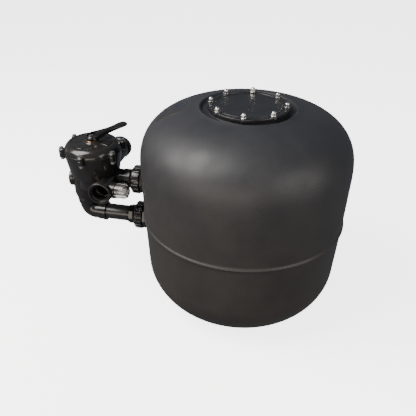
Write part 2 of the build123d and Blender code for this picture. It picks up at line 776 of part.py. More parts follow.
ELBOW_RADIUS = 27.3
ELBOW_BEND = 27.5
bend_centre = (DROP_X + ELBOW_BEND, 0, LOWER_PORT_HEIGHT + ELBOW_BEND)
elbow_points = [
    (0, bend_centre[2]),
    (ELBOW_RADIUS, bend_centre[2]),
    (29.5, 266),
    (31, 272),
    (32.3, DROP_JOINT - 1),
    (31.6, DROP_JOINT),
    (0, DROP_JOINT),
]
with BuildPart() as bottom_elbow:
    revolve(outline(elbow_points, (DROP_X, 0, 0), UP), axis=drop_axis)
    with BuildSketch(Plane.XY.offset(bend_centre[2])):
        with Locations((DROP_X, 0)):
            Circle(ELBOW_RADIUS)
    revolve(axis=Axis(bend_centre, (0, -1, 0)), revolution_arc=90)
    with BuildSketch(
        Plane(origin=(bend_centre[0], 0, LOWER_PORT_HEIGHT), x_dir=(0, 1, 0), z_dir=(1, 0, 0))
    ):
        Circle(ELBOW_RADIUS)
    extrude(amount=ELBOW_MOUTH_X - bend_centre[0])
    with BuildSketch(
        Plane(origin=(ELBOW_MOUTH_X - 24, 0, LOWER_PORT_HEIGHT), x_dir=(0, 1, 0), z_dir=(1, 0, 0))
    ):
        Circle(ELBOW_RADIUS + 1.5)
    extrude(amount=24)
    with BuildSketch(
        Plane(origin=(ELBOW_MOUTH_X - 7, 0, LOWER_PORT_HEIGHT), x_dir=(0, 1, 0), z_dir=(1, 0, 0))
    ):
        Circle(ELBOW_RADIUS + 3.5)
    extrude(amount=7)
    # the way through
    with BuildSketch(Plane.XY.offset(SPIGOT_BOTTOM - 0.5)):
        with Locations((DROP_X, 0)):
            Circle(SPIGOT_RADIUS + 0.1)
    extrude(amount=DROP_JOINT + 1 - SPIGOT_BOTTOM, mode=Mode.SUBTRACT)
    with BuildSketch(Plane.XY.offset(bend_centre[2])):
        with Locations((DROP_X, 0)):
            Circle(FITTING_BORE)
    extrude(amount=DROP_JOINT - bend_centre[2], mode=Mode.SUBTRACT)
    with BuildSketch(Plane.XY.offset(bend_centre[2])):
        with Locations((DROP_X, 0)):
            Circle(FITTING_BORE)
    revolve(axis=Axis(bend_centre, (0, -1, 0)), revolution_arc=90, mode=Mode.SUBTRACT)
    mouth_plane = Plane(origin=(ELBOW_MOUTH_X, 0, LOWER_PORT_HEIGHT), x_dir=(0, 1, 0), z_dir=OUTWARD)
    with BuildSketch(mouth_plane):
        Circle(FITTING_BORE)
    extrude(amount=ELBOW_MOUTH_X - bend_centre[0], mode=Mode.SUBTRACT)
    with BuildSketch(mouth_plane):
        Circle(PIPE_RADIUS + 0.1)
    extrude(amount=20, mode=Mode.SUBTRACT)
keep(bottom_elbow.part, "bottom_elbow")

# ---------------------------------------------------------------- valve cover and its fasteners

cover_points = [
    (76.5, BODY_TOP),
    (84.6, BODY_TOP),
    (85.4, BODY_TOP + 1),
    (84.6, BODY_TOP + 5),
    (82.2, BODY_TOP + 10),
    (78.6, BODY_TOP + 15),
    (74.4, BODY_TOP + 19.1),
    (69.6, COVER_TOP - 0.7),
    (66.0, COVER_TOP),
    (64.5, COVER_TOP - 0.2),
    (62.5, COVER_TOP - 1.8),
    (24, COVER_TOP - 1.2),
    (22, COVER_TOP + 2),
    (20.5, COVER_TOP + 3),
    (STEM_HOLE, COVER_TOP + 3),
    (STEM_HOLE, 462),
    (16, 462),
    (16, 473),
    (63, 473),
    (74, 464),
]
with BuildPart() as valve_lid:
    revolve(outline(cover_points, valve_centre, UP), axis=valve_axis)
    for angle in lug_angles:
        with BuildSketch(spoke_plane(angle, BODY_TOP)):
            with Locations((LUG_RADIUS, 0)):
                Circle(LUG_SIZE)
            with Locations((LUG_RADIUS - 6, 0)):
                Rectangle(12, 2 * LUG_SIZE)
        extrude(amount=9)
    with BuildSketch(Plane.XY.offset(BODY_TOP - 1)):
        with Locations(*polar_points(LUG_RADIUS, LUG_COUNT, 30, (VALVE_X, 0))):
            Circle(4.2)
    extrude(amount=12, mode=Mode.SUBTRACT)
keep(valve_lid.part, "valve_lid")
keep(ring_seal(lid_groove, 2.9, (VALVE_X, 0, BODY_TOP - 1.5), UP), "valve_lid_o_ring")

LUG_TOP = BODY_TOP + 9
LUG_BOTTOM = BODY_TOP - 14.5
bolt_places = polar_points(LUG_RADIUS, LUG_COUNT, 30, (VALVE_X, 0))
with BuildPart() as valve_bolts:
    with BuildSketch(Plane.XY.offset(LUG_BOTTOM - 8.5)):
        with Locations(*bolt_places):
            Circle(4)
    extrude(amount=LUG_TOP - LUG_BOTTOM + 10.5)
    with BuildSketch(Plane.XY.offset(LUG_TOP + 1.6)):
        with Locations(*bolt_places):
            RegularPolygon(radius=7.4, side_count=6)
    extrude(amount=5.3)
keep(valve_bolts.part, "valve_bolts")

with BuildPart() as valve_washers:
    for level in (LUG_TOP, LUG_BOTTOM - 1.6):
        with BuildSketch(Plane.XY.offset(level)):
            with Locations(*bolt_places):
                Circle(8.3)
                Circle(4.15, mode=Mode.SUBTRACT)
        extrude(amount=1.6)
keep(valve_washers.part, "valve_washers")

with BuildPart() as valve_nuts:
    with BuildSketch(Plane.XY.offset(LUG_BOTTOM - 1.6)):
        with Locations(*bolt_places):
            RegularPolygon(radius=7.4, side_count=6)
            Circle(4, mode=Mode.SUBTRACT)
    extrude(amount=-6.2)
keep(valve_nuts.part, "valve_nuts")

# ---------------------------------------------------------------- inside the valve

with BuildPart() as spider_gasket:
    with BuildSketch(Plane.XY.offset(SEAT_HEIGHT)):
        with Locations((VALVE_X, 0)):
            Circle(CHAMBER_RADIUS - 1)
            Circle(CHAMBER_RADIUS - 7, mode=Mode.SUBTRACT)
            Circle(14)
            with PolarLocations(40, LUG_COUNT, start_angle=30):
                Rectangle(68, 5)
    extrude(amount=2.6)
keep(spider_gasket.part, "spider_gasket")

ROTOR_BOTTOM = SEAT_HEIGHT + 3.0
ROTOR_TOP = ROTOR_BOTTOM + 12
ROTOR_RADIUS = 73.0
with BuildPart() as rotor:
    with BuildSketch(Plane.XY.offset(ROTOR_BOTTOM)):
        with Locations((VALVE_X, 0)):
            Circle(ROTOR_RADIUS)
    extrude(amount=12)
    # one open window and one blind pocket that links two chambers
    window = spoke_plane(HANDLE_AZIMUTH, ROTOR_BOTTOM)
    with BuildSketch(window):
        with Locations((48, 0)):
            RectangleRounded(34, 36, 8)
    extrude(amount=12, mode=Mode.SUBTRACT)
    pocket = spoke_plane(HANDLE_AZIMUTH + 180, ROTOR_BOTTOM)
    with BuildSketch(pocket):
        with Locations((44, 0)):
            RectangleRounded(38, 84, 12)
    extrude(amount=8, mode=Mode.SUBTRACT)
    with BuildSketch(Plane.XY.offset(ROTOR_BOTTOM)):
        with Locations((VALVE_X, 0)):
            Circle(7)
    extrude(amount=12, mode=Mode.SUBTRACT)
keep(rotor.part, "rotor")

STEM_TOP = 498.0
STEM_GROOVES = (469.0, 475.0)
stem_points = [(0, ROTOR_BOTTOM), (7, ROTOR_BOTTOM), (7, ROTOR_TOP), (12, ROTOR_TOP)]
stem_points += [(12, ROTOR_TOP + 4), (STEM_RADIUS, ROTOR_TOP + 6)]
for level in STEM_GROOVES:
    stem_points += [
        (STEM_RADIUS, level - 1.3),
        (STEM_RADIUS - 2.4, level - 1.3),
        (STEM_RADIUS - 2.4, level + 1.3),
        (STEM_RADIUS, level + 1.3),
    ]
stem_points += [(STEM_RADIUS, STEM_TOP - 1.5), (STEM_RADIUS - 1.5, STEM_TOP), (0, STEM_TOP)]

lever_out = Vector(cos(radians(HANDLE_AZIMUTH)), sin(radians(HANDLE_AZIMUTH)), 0)
lever_side = Vector(-sin(radians(HANDLE_AZIMUTH)), cos(radians(HANDLE_AZIMUTH)), 0)
pin_centre = Vector(VALVE_X, 0, PIN_HEIGHT)
pin_plane = Plane(origin=pin_centre - lever_side * 30, x_dir=lever_out, z_dir=lever_side)

with BuildPart() as stem:
    revolve(outline(stem_points, valve_centre, UP), axis=valve_axis)
    with BuildSketch(pin_plane):
        Circle(PIN_RADIUS + 0.05)
    extrude(amount=60, mode=Mode.SUBTRACT)
keep(stem.part, "stem")

with BuildPart() as stem_o_rings:
    for level in STEM_GROOVES:
        with BuildSketch(turning_plane((VALVE_X, 0, level), UP)):
            with Locations((STEM_RADIUS - 1.22, 0)):
                Circle(1.18)
        revolve(axis=valve_axis)
keep(stem_o_rings.part, "stem_o_rings")

with BuildPart() as spring_washer:
    with BuildSketch(Plane.XY.offset(ROTOR_TOP)):
        with Locations((VALVE_X, 0)):
            Circle(29)
            Circle(19, mode=Mode.SUBTRACT)
    extrude(amount=1.5)
keep(spring_washer.part, "spring_washer")

SPRING_WIRE = 3.2
SPRING_RADIUS = 24.0
spring_start = ROTOR_TOP + 1.5 + SPRING_WIRE / 2 + 0.1
spring_end = 473 - SPRING_WIRE / 2 - 0.1
with BuildPart() as rotor_spring:
    with BuildLine():
        coil = Helix(
            pitch=(spring_end - spring_start) / 3.5,
            height=spring_end - spring_start,
            radius=SPRING_RADIUS,
            center=(VALVE_X, 0, spring_start),
        )
    with BuildSketch(Plane(origin=coil @ 0, z_dir=coil % 0)):
        Circle(SPRING_WIRE / 2)
    sweep(is_frenet=True)
keep(rotor_spring.part, "rotor_spring")

# ---------------------------------------------------------------- handle

washer_points = [(9.4, 483), (18.5, 483), (19, 483.5), (19, 484.6), (18.5, 485), (9.4, 485)]
keep(turned(washer_points, valve_centre, UP), "handle_washer")

SHOE_HEIGHT = PIN_HEIGHT - 6.0
# distance from the axis, width, height and middle level of each section of the lever
lever_sections = [
    (-13.0, 22.0, 9.0, 491.5),
    (-9.0, 34.0, 14.0, 492.6),
    (0.0, 38.5, 17.0, 493.6),
    (18.0, 36.0, 18.0, 494.4),
    (34.0, 26.0, 17.0, 496.0),
    (50.0, 18.5, 16.0, 497.3),
    (66.0, 16.0, 14.0, 498.4),
    (84.0, 20.0, 12.0, 500.4),
    (102.0, 28.0, 10.0, 502.2),
    (114.0, 27.0, 8.5, 503.2),
    (HANDLE_LENGTH, 16.0, 6.0, 503.4),
]
with BuildPart() as handle:
    for distance, width, thick, level in lever_sections:
        spot = pin_centre + lever_out * distance + Vector(0, 0, level - PIN_HEIGHT)
        with BuildSketch(Plane(origin=spot, x_dir=lever_side, z_dir=lever_out)):
            RectangleRounded(width, thick, thick * 0.42)
    loft()
    # flat under the root, level with the washer
    with BuildSketch(spoke_plane(HANDLE_AZIMUTH, SHOE_HEIGHT)):
        with Locations((20, 0)):
            Rectangle(110, 60)
    extrude(amount=-20, mode=Mode.SUBTRACT)
    # slot for the stem
    with BuildSketch(spoke_plane(HANDLE_AZIMUTH, SHOE_HEIGHT - 10)):
        with Locations((0, 0)):
            RectangleRounded(27, 18.7, 4)
    extrude(amount=40, mode=Mode.SUBTRACT)
    with BuildSketch(pin_plane):
        Circle(PIN_RADIUS)
    extrude(amount=60, mode=Mode.SUBTRACT)
keep(handle.part, "handle")

with BuildPart() as handle_pin:
    with BuildSketch(pin_plane.offset(30 - 18.2)):
        Circle(PIN_RADIUS)
    extrude(amount=36.4)
keep(handle_pin.part, "handle_pin")

# ---------------------------------------------------------------- sight glass

# radius and distance in front of the boss's face
glass_points = [
    (0, 39),
    (12, 38.5),
    (18.5, 35.5),
    (21.8, 30),
    (22.5, 24),
    (22.5, 0.1),
    (17.9, 0.1),
    (17.9, -7.5),
    (15, -7.5),
    (15, 22),
    (13.5, 30),
    (9, 34),
    (0, 35),
]
keep(turned(glass_points, (GLASS_FACE_X, GLASS_Y, GLASS_HEIGHT), (1, 0, 0)), "sight_glass")
keep(ring_seal(20.2, 1.8, (GLASS_FACE_X - 1.0, GLASS_Y, GLASS_HEIGHT), OUTWARD), "sight_glass_o_ring")

print("wrote", len(os.listdir("parts")), "files")
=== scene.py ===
import json
from math import cos, pi, radians, sin, sqrt

import bmesh
import bpy
from mathutils import Matrix, Vector


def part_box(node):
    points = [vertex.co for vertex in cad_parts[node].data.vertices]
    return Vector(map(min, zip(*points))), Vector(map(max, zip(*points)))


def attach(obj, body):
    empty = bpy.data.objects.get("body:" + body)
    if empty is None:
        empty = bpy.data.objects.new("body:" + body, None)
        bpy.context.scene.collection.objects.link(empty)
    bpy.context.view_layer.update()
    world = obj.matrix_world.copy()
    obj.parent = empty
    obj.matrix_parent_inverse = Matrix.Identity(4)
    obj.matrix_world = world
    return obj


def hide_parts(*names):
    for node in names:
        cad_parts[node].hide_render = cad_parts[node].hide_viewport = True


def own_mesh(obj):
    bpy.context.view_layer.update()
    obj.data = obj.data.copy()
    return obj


# The looks of a sand filter tank with a six-way valve. Lengths are millimetres in the row frame
# until a mesh is finished, and MM turns them into Blender's metres.

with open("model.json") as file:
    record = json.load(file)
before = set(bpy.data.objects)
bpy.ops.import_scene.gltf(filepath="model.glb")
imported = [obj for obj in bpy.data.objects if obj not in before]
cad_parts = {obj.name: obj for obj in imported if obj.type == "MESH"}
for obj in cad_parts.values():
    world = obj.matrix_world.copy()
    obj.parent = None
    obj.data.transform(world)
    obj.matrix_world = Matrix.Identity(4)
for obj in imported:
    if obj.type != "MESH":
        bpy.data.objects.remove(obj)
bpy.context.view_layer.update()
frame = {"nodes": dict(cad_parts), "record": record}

MM = 0.001
UP = Vector((0, 0, 1))
OUTWARD = Vector((-1, 0, 0))
FORWARD = Vector((1, 0, 0))
CENTRE = Vector((0, 0, 0))
SMALL = 1e-6


def corners_mm(node):
    """Lowest and highest corner of a CAD node, in millimetres."""
    low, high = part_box(node)
    return low / MM, high / MM


def middle_mm(node):
    """Centre of a CAD node's box, in millimetres."""
    low, high = corners_mm(node)
    return (low + high) / 2


# ---------------------------------------------------------------- sizes shared by the pieces

BASE_RADIUS = 134.0
CORNER_HEIGHT = 147.0
CORNER_TOP_RADIUS = 290.0
SEAM_HEIGHT = 299.0
SEAM_RADIUS = 296.6
SEAM_STANDS_OUT = 3.6
SEAM_HALF_WIDTH = 5.0
SHOULDER_HEIGHT = 455.0
SHOULDER_RADIUS = 300.0
DOME_RISE = 176.0
DOME_POWER = 2.82
DOME_END_RADIUS = 138.0
RIDGE_RADIUS = 131.0
CHANNEL_RADIUS = 124.0
CHANNEL_HEIGHT = 615.5
NECK_RADIUS = 109.0
NECK_OPENING = 86.0
NECK_TOP = 622.5
NECK_BOTTOM = NECK_TOP - 25.5
WALL = 7.0
FLOOR_THICKNESS = 12.0

LID_RADIUS = 112.5
LID_TOP = 631.0
LID_BOLT_RADIUS = 103.0
LID_BOLT_COUNT = 8
LID_BOLT_ANGLES = [360 / LID_BOLT_COUNT * i for i in range(LID_BOLT_COUNT)]
LID_PAD_RADIUS = 11.5
BOLT_HOLE = 4.2

PORT_HEIGHTS = {
    "upper": middle_mm("upper_bulkhead_gasket").z,
    "lower": middle_mm("lower_bulkhead_gasket").z,
}
BOSS_RADIUS = 42.0
BOSS_FACE = 301.0
FITTING_BORE = 20.0
THREAD_RADIUS = 25.4
UNION_THREAD = 30.0
PIPE_RADIUS = 25.0
NUT_RADIUS = 44.0
NUT_RIBS = 18

VALVE_X = middle_mm("rotor").x
BODY_FLOOR = 377.4
CORE_FLOOR = 334.0
CORE_RADIUS = 56.0
DROP_X = -502.0
DROP_JOINT = 286.0
BODY_TOP = 457.5
COVER_TOP = 480.0
LUG_RADIUS = 91.0
LUG_SIZE = 9.0
LUG_COUNT = 6
LUG_ANGLES = [30 + 360 / LUG_COUNT * i for i in range(LUG_COUNT)]
LUG_DROP = 14.5
CHAMBER_FLOOR = BODY_FLOOR + 6
CHAMBER_RADIUS = 77.0
SEAT_HEIGHT = 428.0
SEAT_RADIUS = 70.0
COVER_CEILING = 473.0
DROP_RADIUS = 37.5
SPIGOT_DEPTH = 21.0
STUB_FACE = 372.0
STUB_RADIUS = 27.0
PORT_RIM = 35.0
PORT_NECK = 30.5
PORT_SOCKET = 25.1
PORT_BORE = 21.0
HANDLE_AZIMUTH = 50.0
VALVE_AXIS = Vector((VALVE_X, 0, 0))


# ---------------------------------------------------------------- mesh helpers

def polar(radius, angle, height=0.0, centre=CENTRE):
    """A point at a radius and an azimuth in degrees round an upright axis."""
    turn = radians(angle)
    return centre + Vector((radius * cos(turn), radius * sin(turn), height))


def softened(corners, steps=5, closed=False):
    """Outline points for (x, y, rounding) corners, each corner eased over its rounding."""
    count = len(corners)
    points = []
    for place, corner in enumerate(corners):
        spot = Vector(corner[:2])
        rounding = corner[2] if len(corner) > 2 else 0.0
        at_end = not closed and place in (0, count - 1)
        if rounding <= 0 or at_end:
            points.append(spot)
            continue
        before = Vector(corners[place - 1][:2]) - spot
        after = Vector(corners[(place + 1) % count][:2]) - spot
        start = spot + before.normalized() * min(rounding, 0.48 * before.length)
        end = spot + after.normalized() * min(rounding, 0.48 * after.length)
        for step in range(steps + 1):
            t = step / steps
            points.append(start * (1 - t) ** 2 + spot * 2 * t * (1 - t) + end * t * t)
    return points


def new_object(name, mesh_data):
    """Puts a bmesh into the scene as an object, still in millimetres."""
    bmesh.ops.recalc_face_normals(mesh_data, faces=mesh_data.faces)
    mesh = bpy.data.meshes.new(name)
    mesh_data.to_mesh(mesh)
    mesh_data.free()
    made = bpy.data.objects.new(name, mesh)
    bpy.context.scene.collection.objects.link(made)
    return made


def axis_frame(axis):
    """Two directions square to an axis, the first of them the reference for angles."""
    along = Vector(axis).normalized()
    side = FORWARD.copy() if abs(along.z) > 0.9 else UP - along * along.z
    side.normalize()
    return along, side, along.cross(side)


def turned(profile, origin=CENTRE, axis=UP, segments=96, closed=True):
    """A turned body. The profile is (radius, distance along the axis) points."""
    along, side, other = axis_frame(axis)
    origin = Vector(origin)
    data = bmesh.new()
    rings = []
    for radius, distance in profile:
        if radius < SMALL:
            rings.append([data.verts.new(origin + along * distance)])
            continue
        ring = []
        for step in range(segments):
            angle = 2 * pi * step / segments
            spot = origin + along * distance + (side * cos(angle) + other * sin(angle)) * radius
            ring.append(data.verts.new(spot))
        rings.append(ring)
    pairs = list(zip(rings, rings[1:]))
    if closed and len(rings[0]) > 1 and len(rings[-1]) > 1:
        pairs.append((rings[-1], rings[0]))
    for first, second in pairs:
        for step in range(segments):
            after = (step + 1) % segments
            if len(first) == 1 and len(second) == 1:
                continue
            if len(first) == 1:
                data.faces.new((first[0], second[step], second[after]))
            elif len(second) == 1:
                data.faces.new((first[step], second[0], first[after]))
            else:
                data.faces.new((first[step], second[step], second[after], first[after]))
    return new_object("turned", data)


def solid(corners, origin=CENTRE, axis=UP, segments=96, steps=5, closed=False):
    """A turned body from softened (radius, distance, rounding) corners."""
    outline = softened(corners, steps, closed)
    return turned([tuple(point) for point in outline], origin, axis, segments)


def circle(radius, centre=(0, 0), count=48):
    """Outline of a circle."""
    middle = Vector(centre)
    turns = [2 * pi * step / count for step in range(count)]
    return [middle + Vector((cos(a), sin(a))) * radius for a in turns]


def polygon(radius, sides, rounding=0.6):
    """Outline of a regular polygon with eased corners."""
    corners = [(radius * cos(2 * pi * i / sides), radius * sin(2 * pi * i / sides), rounding)
               for i in range(sides)]
    return softened(corners, steps=3, closed=True)


def rounded_box(width, length, rounding, centre=(0, 0)):
    """Outline of a rectangle with rounded corners."""
    x, y = centre
    corners = [
        (x + width / 2, y + length / 2, rounding),
        (x - width / 2, y + length / 2, rounding),
        (x - width / 2, y - length / 2, rounding),
        (x + width / 2, y - length / 2, rounding),
    ]
    return softened(corners, steps=5, closed=True)


def inset(outline, amount):
    """The outline moved inwards along its corner normals."""
    area = sum(a.x * b.y - b.x * a.y for a, b in zip(outline, outline[1:] + outline[:1]))
    turn = 1 if area > 0 else -1
    moved = []
    for place, point in enumerate(outline):
        before = point - outline[place - 1]
        after = outline[(place + 1) % len(outline)] - point
        direction = before.normalized() + after.normalized()
        normal = Vector((-direction.y, direction.x)).normalized() * turn
        moved.append(point + normal * amount)
    return moved


def slab(outline, origin, axis, levels, side=None):
    """A plate with the outline's shape. levels are (height along the axis, inset) steps."""
    along, reference, other = axis_frame(axis)
    if side is not None:
        reference = Vector(side).normalized()
        other = along.cross(reference)
    data = bmesh.new()
    rings = []
    for height, amount in levels:
        points = inset(outline, amount) if amount else outline
        rings.append([
            data.verts.new(Vector(origin) + reference * p.x + other * p.y + along * height)
            for p in points
        ])
    count = len(outline)
    for first, second in zip(rings, rings[1:]):
        for step in range(count):
            after = (step + 1) % count
            data.faces.new((first[step], first[after], second[after], second[step]))
    data.faces.new(list(reversed(rings[0])))
    data.faces.new(rings[-1])
    return new_object("slab", data)


def lofted(sections):
    """A skin through sections of (centre, across, upright, half width, half height, power)."""
    data = bmesh.new()
    count = 40
    rings = []
    for centre, across, upright, wide, high, power in sections:
        ring = []
        for step in range(count):
            angle = 2 * pi * step / count
            c, s = cos(angle), sin(angle)
            x = abs(c) ** (2 / power) * (1 if c > 0 else -1) * wide
            y = abs(s) ** (2 / power) * (1 if s > 0 else -1) * high
            ring.append(data.verts.new(centre + across * x + upright * y))
        rings.append(ring)
    for first, second in zip(rings, rings[1:]):
        for step in range(count):
            after = (step + 1) % count
            data.faces.new((first[step], first[after], second[after], second[step]))
    data.faces.new(list(reversed(rings[0])))
    data.faces.new(rings[-1])
    return new_object("lofted", data)


def remove(thing):
    """Deletes an object that was only needed to make another."""
    bpy.data.objects.remove(thing)


def combined(base, others, operation):
    """The base after a boolean with each of the others, which are used up."""
    for other in others:
        step = base.modifiers.new(operation.lower(), "BOOLEAN")
        step.object = other
        step.operation = operation
        step.solver = "MANIFOLD"
    graph = bpy.context.evaluated_depsgraph_get()
    result = bpy.data.meshes.new_from_object(base.evaluated_get(graph))
    base.modifiers.clear()
    base.data = result
    for other in others:
        remove(other)
    return base


def union(base, *others):
    """The base joined with the others."""
    return combined(base, others, "UNION")


def cut(base, *tools):
    """The base less the tools."""
    return combined(base, tools, "DIFFERENCE")


def joined(things):
    """Several bodies as one mesh, kept apart as separate shells."""
    data = bmesh.new()
    for thing in things:
        data.from_mesh(thing.data)
        remove(thing)
    return new_object("joined", data)


def copies_round(make, places):
    """One body for each place, joined."""
    return joined([make(place) for place in places])


def finished(thing, name, body, material, stands_for=(), sharp=32.0):
    """Names a piece, turns it to metres, shades it and hands it to its body."""
    thing.name = name
    thing.data.name = name
    thing.data.transform(Matrix.Scale(MM, 4))
    thing.data.materials.clear()
    thing.data.materials.append(material)
    thing.data.shade_smooth()
    thing.data.set_sharp_from_angle(angle=radians(sharp))
    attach(thing, body)
    if stands_for:
        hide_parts(*stands_for)
    return thing


# ---------------------------------------------------------------- materials

class Finish:
    """A material under construction: one Principled shader fed by procedural nodes."""

    def __init__(self, name, **sockets):
        self.material = bpy.data.materials.new(name)
        self.material.use_nodes = True
        self.tree = self.material.node_tree
        self.shader = self.tree.nodes["Principled BSDF"]
        self.place = self.node("ShaderNodeTexCoord").outputs["Object"]
        for socket, value in sockets.items():
            self.shader.inputs[socket.replace("_", " ")].default_value = value

    def node(self, kind, **settings):
        made = self.tree.nodes.new(kind)
        for key, value in settings.items():
            setattr(made, key, value)
        return made

    def link(self, source, target):
        self.tree.links.new(source, target)

    def noise(self, scale, detail=3.0, stretch=None, turn=(0, 0, 0), roughness=0.5):
        """Noise with so many features to the metre, stretched along one direction if asked."""
        texture = self.node("ShaderNodeTexNoise")
        texture.inputs["Scale"].default_value = scale
        texture.inputs["Detail"].default_value = detail
        texture.inputs["Roughness"].default_value = roughness
        place = self.place
        if stretch:
            mapping = self.node("ShaderNodeMapping")
            mapping.inputs["Rotation"].default_value = turn
            mapping.inputs["Scale"].default_value = stretch
            self.link(place, mapping.inputs["Vector"])
            place = mapping.outputs["Vector"]
        self.link(place, texture.inputs["Vector"])
        return texture.outputs["Fac"]

    def ramp(self, value, *stops):
        """A colour for each value, from (value, colour) stops."""
        ramp = self.node("ShaderNodeValToRGB")
        elements = ramp.color_ramp.elements
        while len(elements) < len(stops):
            elements.new(0.5)
        for element, (position, colour) in zip(elements, stops):
            element.position = position
            element.color = (*colour, 1)
        self.link(value, ramp.inputs["Fac"])
        return ramp.outputs["Color"]

    def spread(self, value, low, high, start=0.3, end=0.7):
        """The value's range from start to end, laid over low to high."""
        scaled = self.node("ShaderNodeMapRange")
        scaled.inputs["From Min"].default_value = start
        scaled.inputs["From Max"].default_value = end
        scaled.inputs["To Min"].default_value = low
        scaled.inputs["To Max"].default_value = high
        self.link(value, scaled.inputs["Value"])
        return scaled.outputs["Result"]

    def sum(self, first, second, operation="ADD"):
        step = self.node("ShaderNodeMath", operation=operation)
        self.link(first, step.inputs[0])
        self.link(second, step.inputs[1])
        return step.outputs["Value"]

    def blend(self, amount, first, second, kind="MIX"):
        """Two colours blended by an amount that varies over the surface."""
        mix = self.node("ShaderNodeMix", data_type="RGBA", blend_type=kind)
        self.link(amount, mix.inputs["Factor"])
        self.link(first, mix.inputs[6])
        self.link(second, mix.inputs[7])
        return mix.outputs[2]

    def height(self):
        """Height over the base, in metres."""
        split = self.node("ShaderNodeSeparateXYZ")
        self.link(self.place, split.inputs["Vector"])
        return split.outputs["Z"]

    def bumps(self, *layers):
        """Bump from (height, depth in metres) layers, one over the other."""
        before = None
        for value, depth in layers:
            bump = self.node("ShaderNodeBump")
            bump.inputs["Strength"].default_value = 1.0
            bump.inputs["Distance"].default_value = depth
            self.link(value, bump.inputs["Height"])
            if before:
                self.link(before, bump.inputs["Normal"])
            before = bump.outputs["Normal"]
        self.link(before, self.shader.inputs["Normal"])

    def colour(self, value):
        self.link(value, self.shader.inputs["Base Color"])

    def roughness(self, value):
        self.link(value, self.shader.inputs["Roughness"])


def scratches(finish, direction, scale=300.0, threshold=0.69):
    """Thin streaks along one direction, where a second noise lets them show."""
    streaks = finish.noise(scale, 2.0, stretch=(1, 1, 0.02), turn=direction)
    lines = finish.spread(streaks, 0, 1, threshold, threshold + 0.03)
    patches = finish.spread(finish.noise(7.0), 0, 1, 0.53, 0.66)
    return finish.sum(lines, patches, "MULTIPLY")


def tank_plastic():
    """Blow-moulded polyethylene: matte charcoal with a soft sheen, fine grain and rubs, and a painted
    reflection that warms the colour towards the base and turns it bluish towards the top.
    """
    f = Finish("tank_polyethylene", Specular_IOR_Level=0.5)
    clouds = f.noise(7.0, 5.0)
    body = f.ramp(clouds, (0.3, (0.019, 0.0185, 0.019)), (0.7, (0.0265, 0.0255, 0.0248)))
    # painted reflection: warm ground light towards the base, bluish sky light towards the top,
    # multiplied into the body colour
    painted_reflection_tint = f.ramp(
        f.height(),
        (0.1, (1.0, 0.86, 0.74)),
        (0.42, (1.0, 0.97, 0.93)),
        (0.62, (0.84, 0.9, 1.08)),
    )
    painted_reflection_mix = f.node("ShaderNodeMix", data_type="RGBA", blend_type="MULTIPLY")
    painted_reflection_mix.inputs["Factor"].default_value = 1.0
    f.link(body, painted_reflection_mix.inputs[6])
    f.link(painted_reflection_tint, painted_reflection_mix.inputs[7])
    rubs = f.sum(scratches(f, (0.3, 0.5, 0.2)), scratches(f, (1.2, 0.1, 0.9), 360.0, 0.71), "MAXIMUM")
    pale = f.ramp(clouds, (0.0, (0.045, 0.043, 0.04)), (1.0, (0.06, 0.058, 0.055)))
    f.colour(f.blend(f.spread(rubs, 0, 0.4, 0, 1), painted_reflection_mix.outputs[2], pale))
    f.roughness(f.spread(f.noise(22.0, 6.0), 0.46, 0.58))
    f.bumps(
        (f.noise(11.0, 2.0), 0.0012),
        (f.noise(150.0, 3.0), 0.00012),
        (f.noise(1300.0, 2.0), 0.00006),
    )
    return f.material


def moulded(name, dark, light, gloss, grain=0.00003, tooth=700.0):
    """Injection-moulded plastic: two near shades, a gloss range and a moulded surface."""
    f = Finish(name, Specular_IOR_Level=0.5)
    f.colour(f.ramp(f.noise(18.0, 4.0), (0.3, dark), (0.7, light)))
    smudges = f.spread(f.noise(38.0, 5.0), gloss[0], gloss[1], 0.35, 0.7)
    fine = f.spread(f.noise(420.0, 2.0), -0.02, 0.02)
    f.roughness(f.sum(smudges, fine))
    f.bumps((f.noise(90.0, 2.0), grain * 2), (f.noise(tooth, 2.0), grain))
    return f.material


def steel():
    """Bright stainless fasteners with fine turning marks."""
    f = Finish("stainless_steel", Metallic=1.0)
    f.colour(f.ramp(f.noise(260.0, 3.0), (0.3, (0.60, 0.585, 0.56)), (0.7, (0.74, 0.73, 0.71))))
    f.roughness(f.spread(f.noise(600.0, 3.0), 0.12, 0.3))
    f.bumps((f.noise(900.0, 1.0, stretch=(1, 1, 8)), 0.00002))
    return f.material


def brass():
    """Yellow brass, a little dulled."""
    f = Finish("yellow_brass", Metallic=1.0)
    f.colour(f.ramp(f.noise(180.0, 3.0), (0.3, (0.40, 0.26, 0.11)), (0.7, (0.58, 0.40, 0.19))))
    f.roughness(f.spread(f.noise(400.0, 3.0), 0.2, 0.42))
    f.bumps((f.noise(1200.0, 1.0), 0.00001))
    return f.material


def rubber():
    """Matte black rubber with a dusty bloom."""
    f = Finish("seal_rubber", Specular_IOR_Level=0.35)
    f.colour(f.ramp(f.noise(70.0, 5.0), (0.35, (0.010, 0.010, 0.010)), (0.75, (0.022, 0.021, 0.02))))
    f.roughness(f.spread(f.noise(300.0, 3.0), 0.62, 0.86))
    f.bumps((f.noise(1500.0, 2.0), 0.00005))
    return f.material


def clear_plastic():
    """Clear polycarbonate with a smoky cast and faint flow lines."""
    f = Finish("clear_polycarbonate", IOR=1.52, Transmission_Weight=0.86)
    f.colour(f.ramp(f.noise(45.0, 3.0), (0.3, (0.24, 0.235, 0.225)), (0.7, (0.40, 0.39, 0.375))))
    f.roughness(f.spread(f.noise(130.0, 4.0), 0.03, 0.12))
    f.bumps((f.noise(60.0, 2.0, stretch=(0.2, 1, 1)), 0.0002))
    return f.material


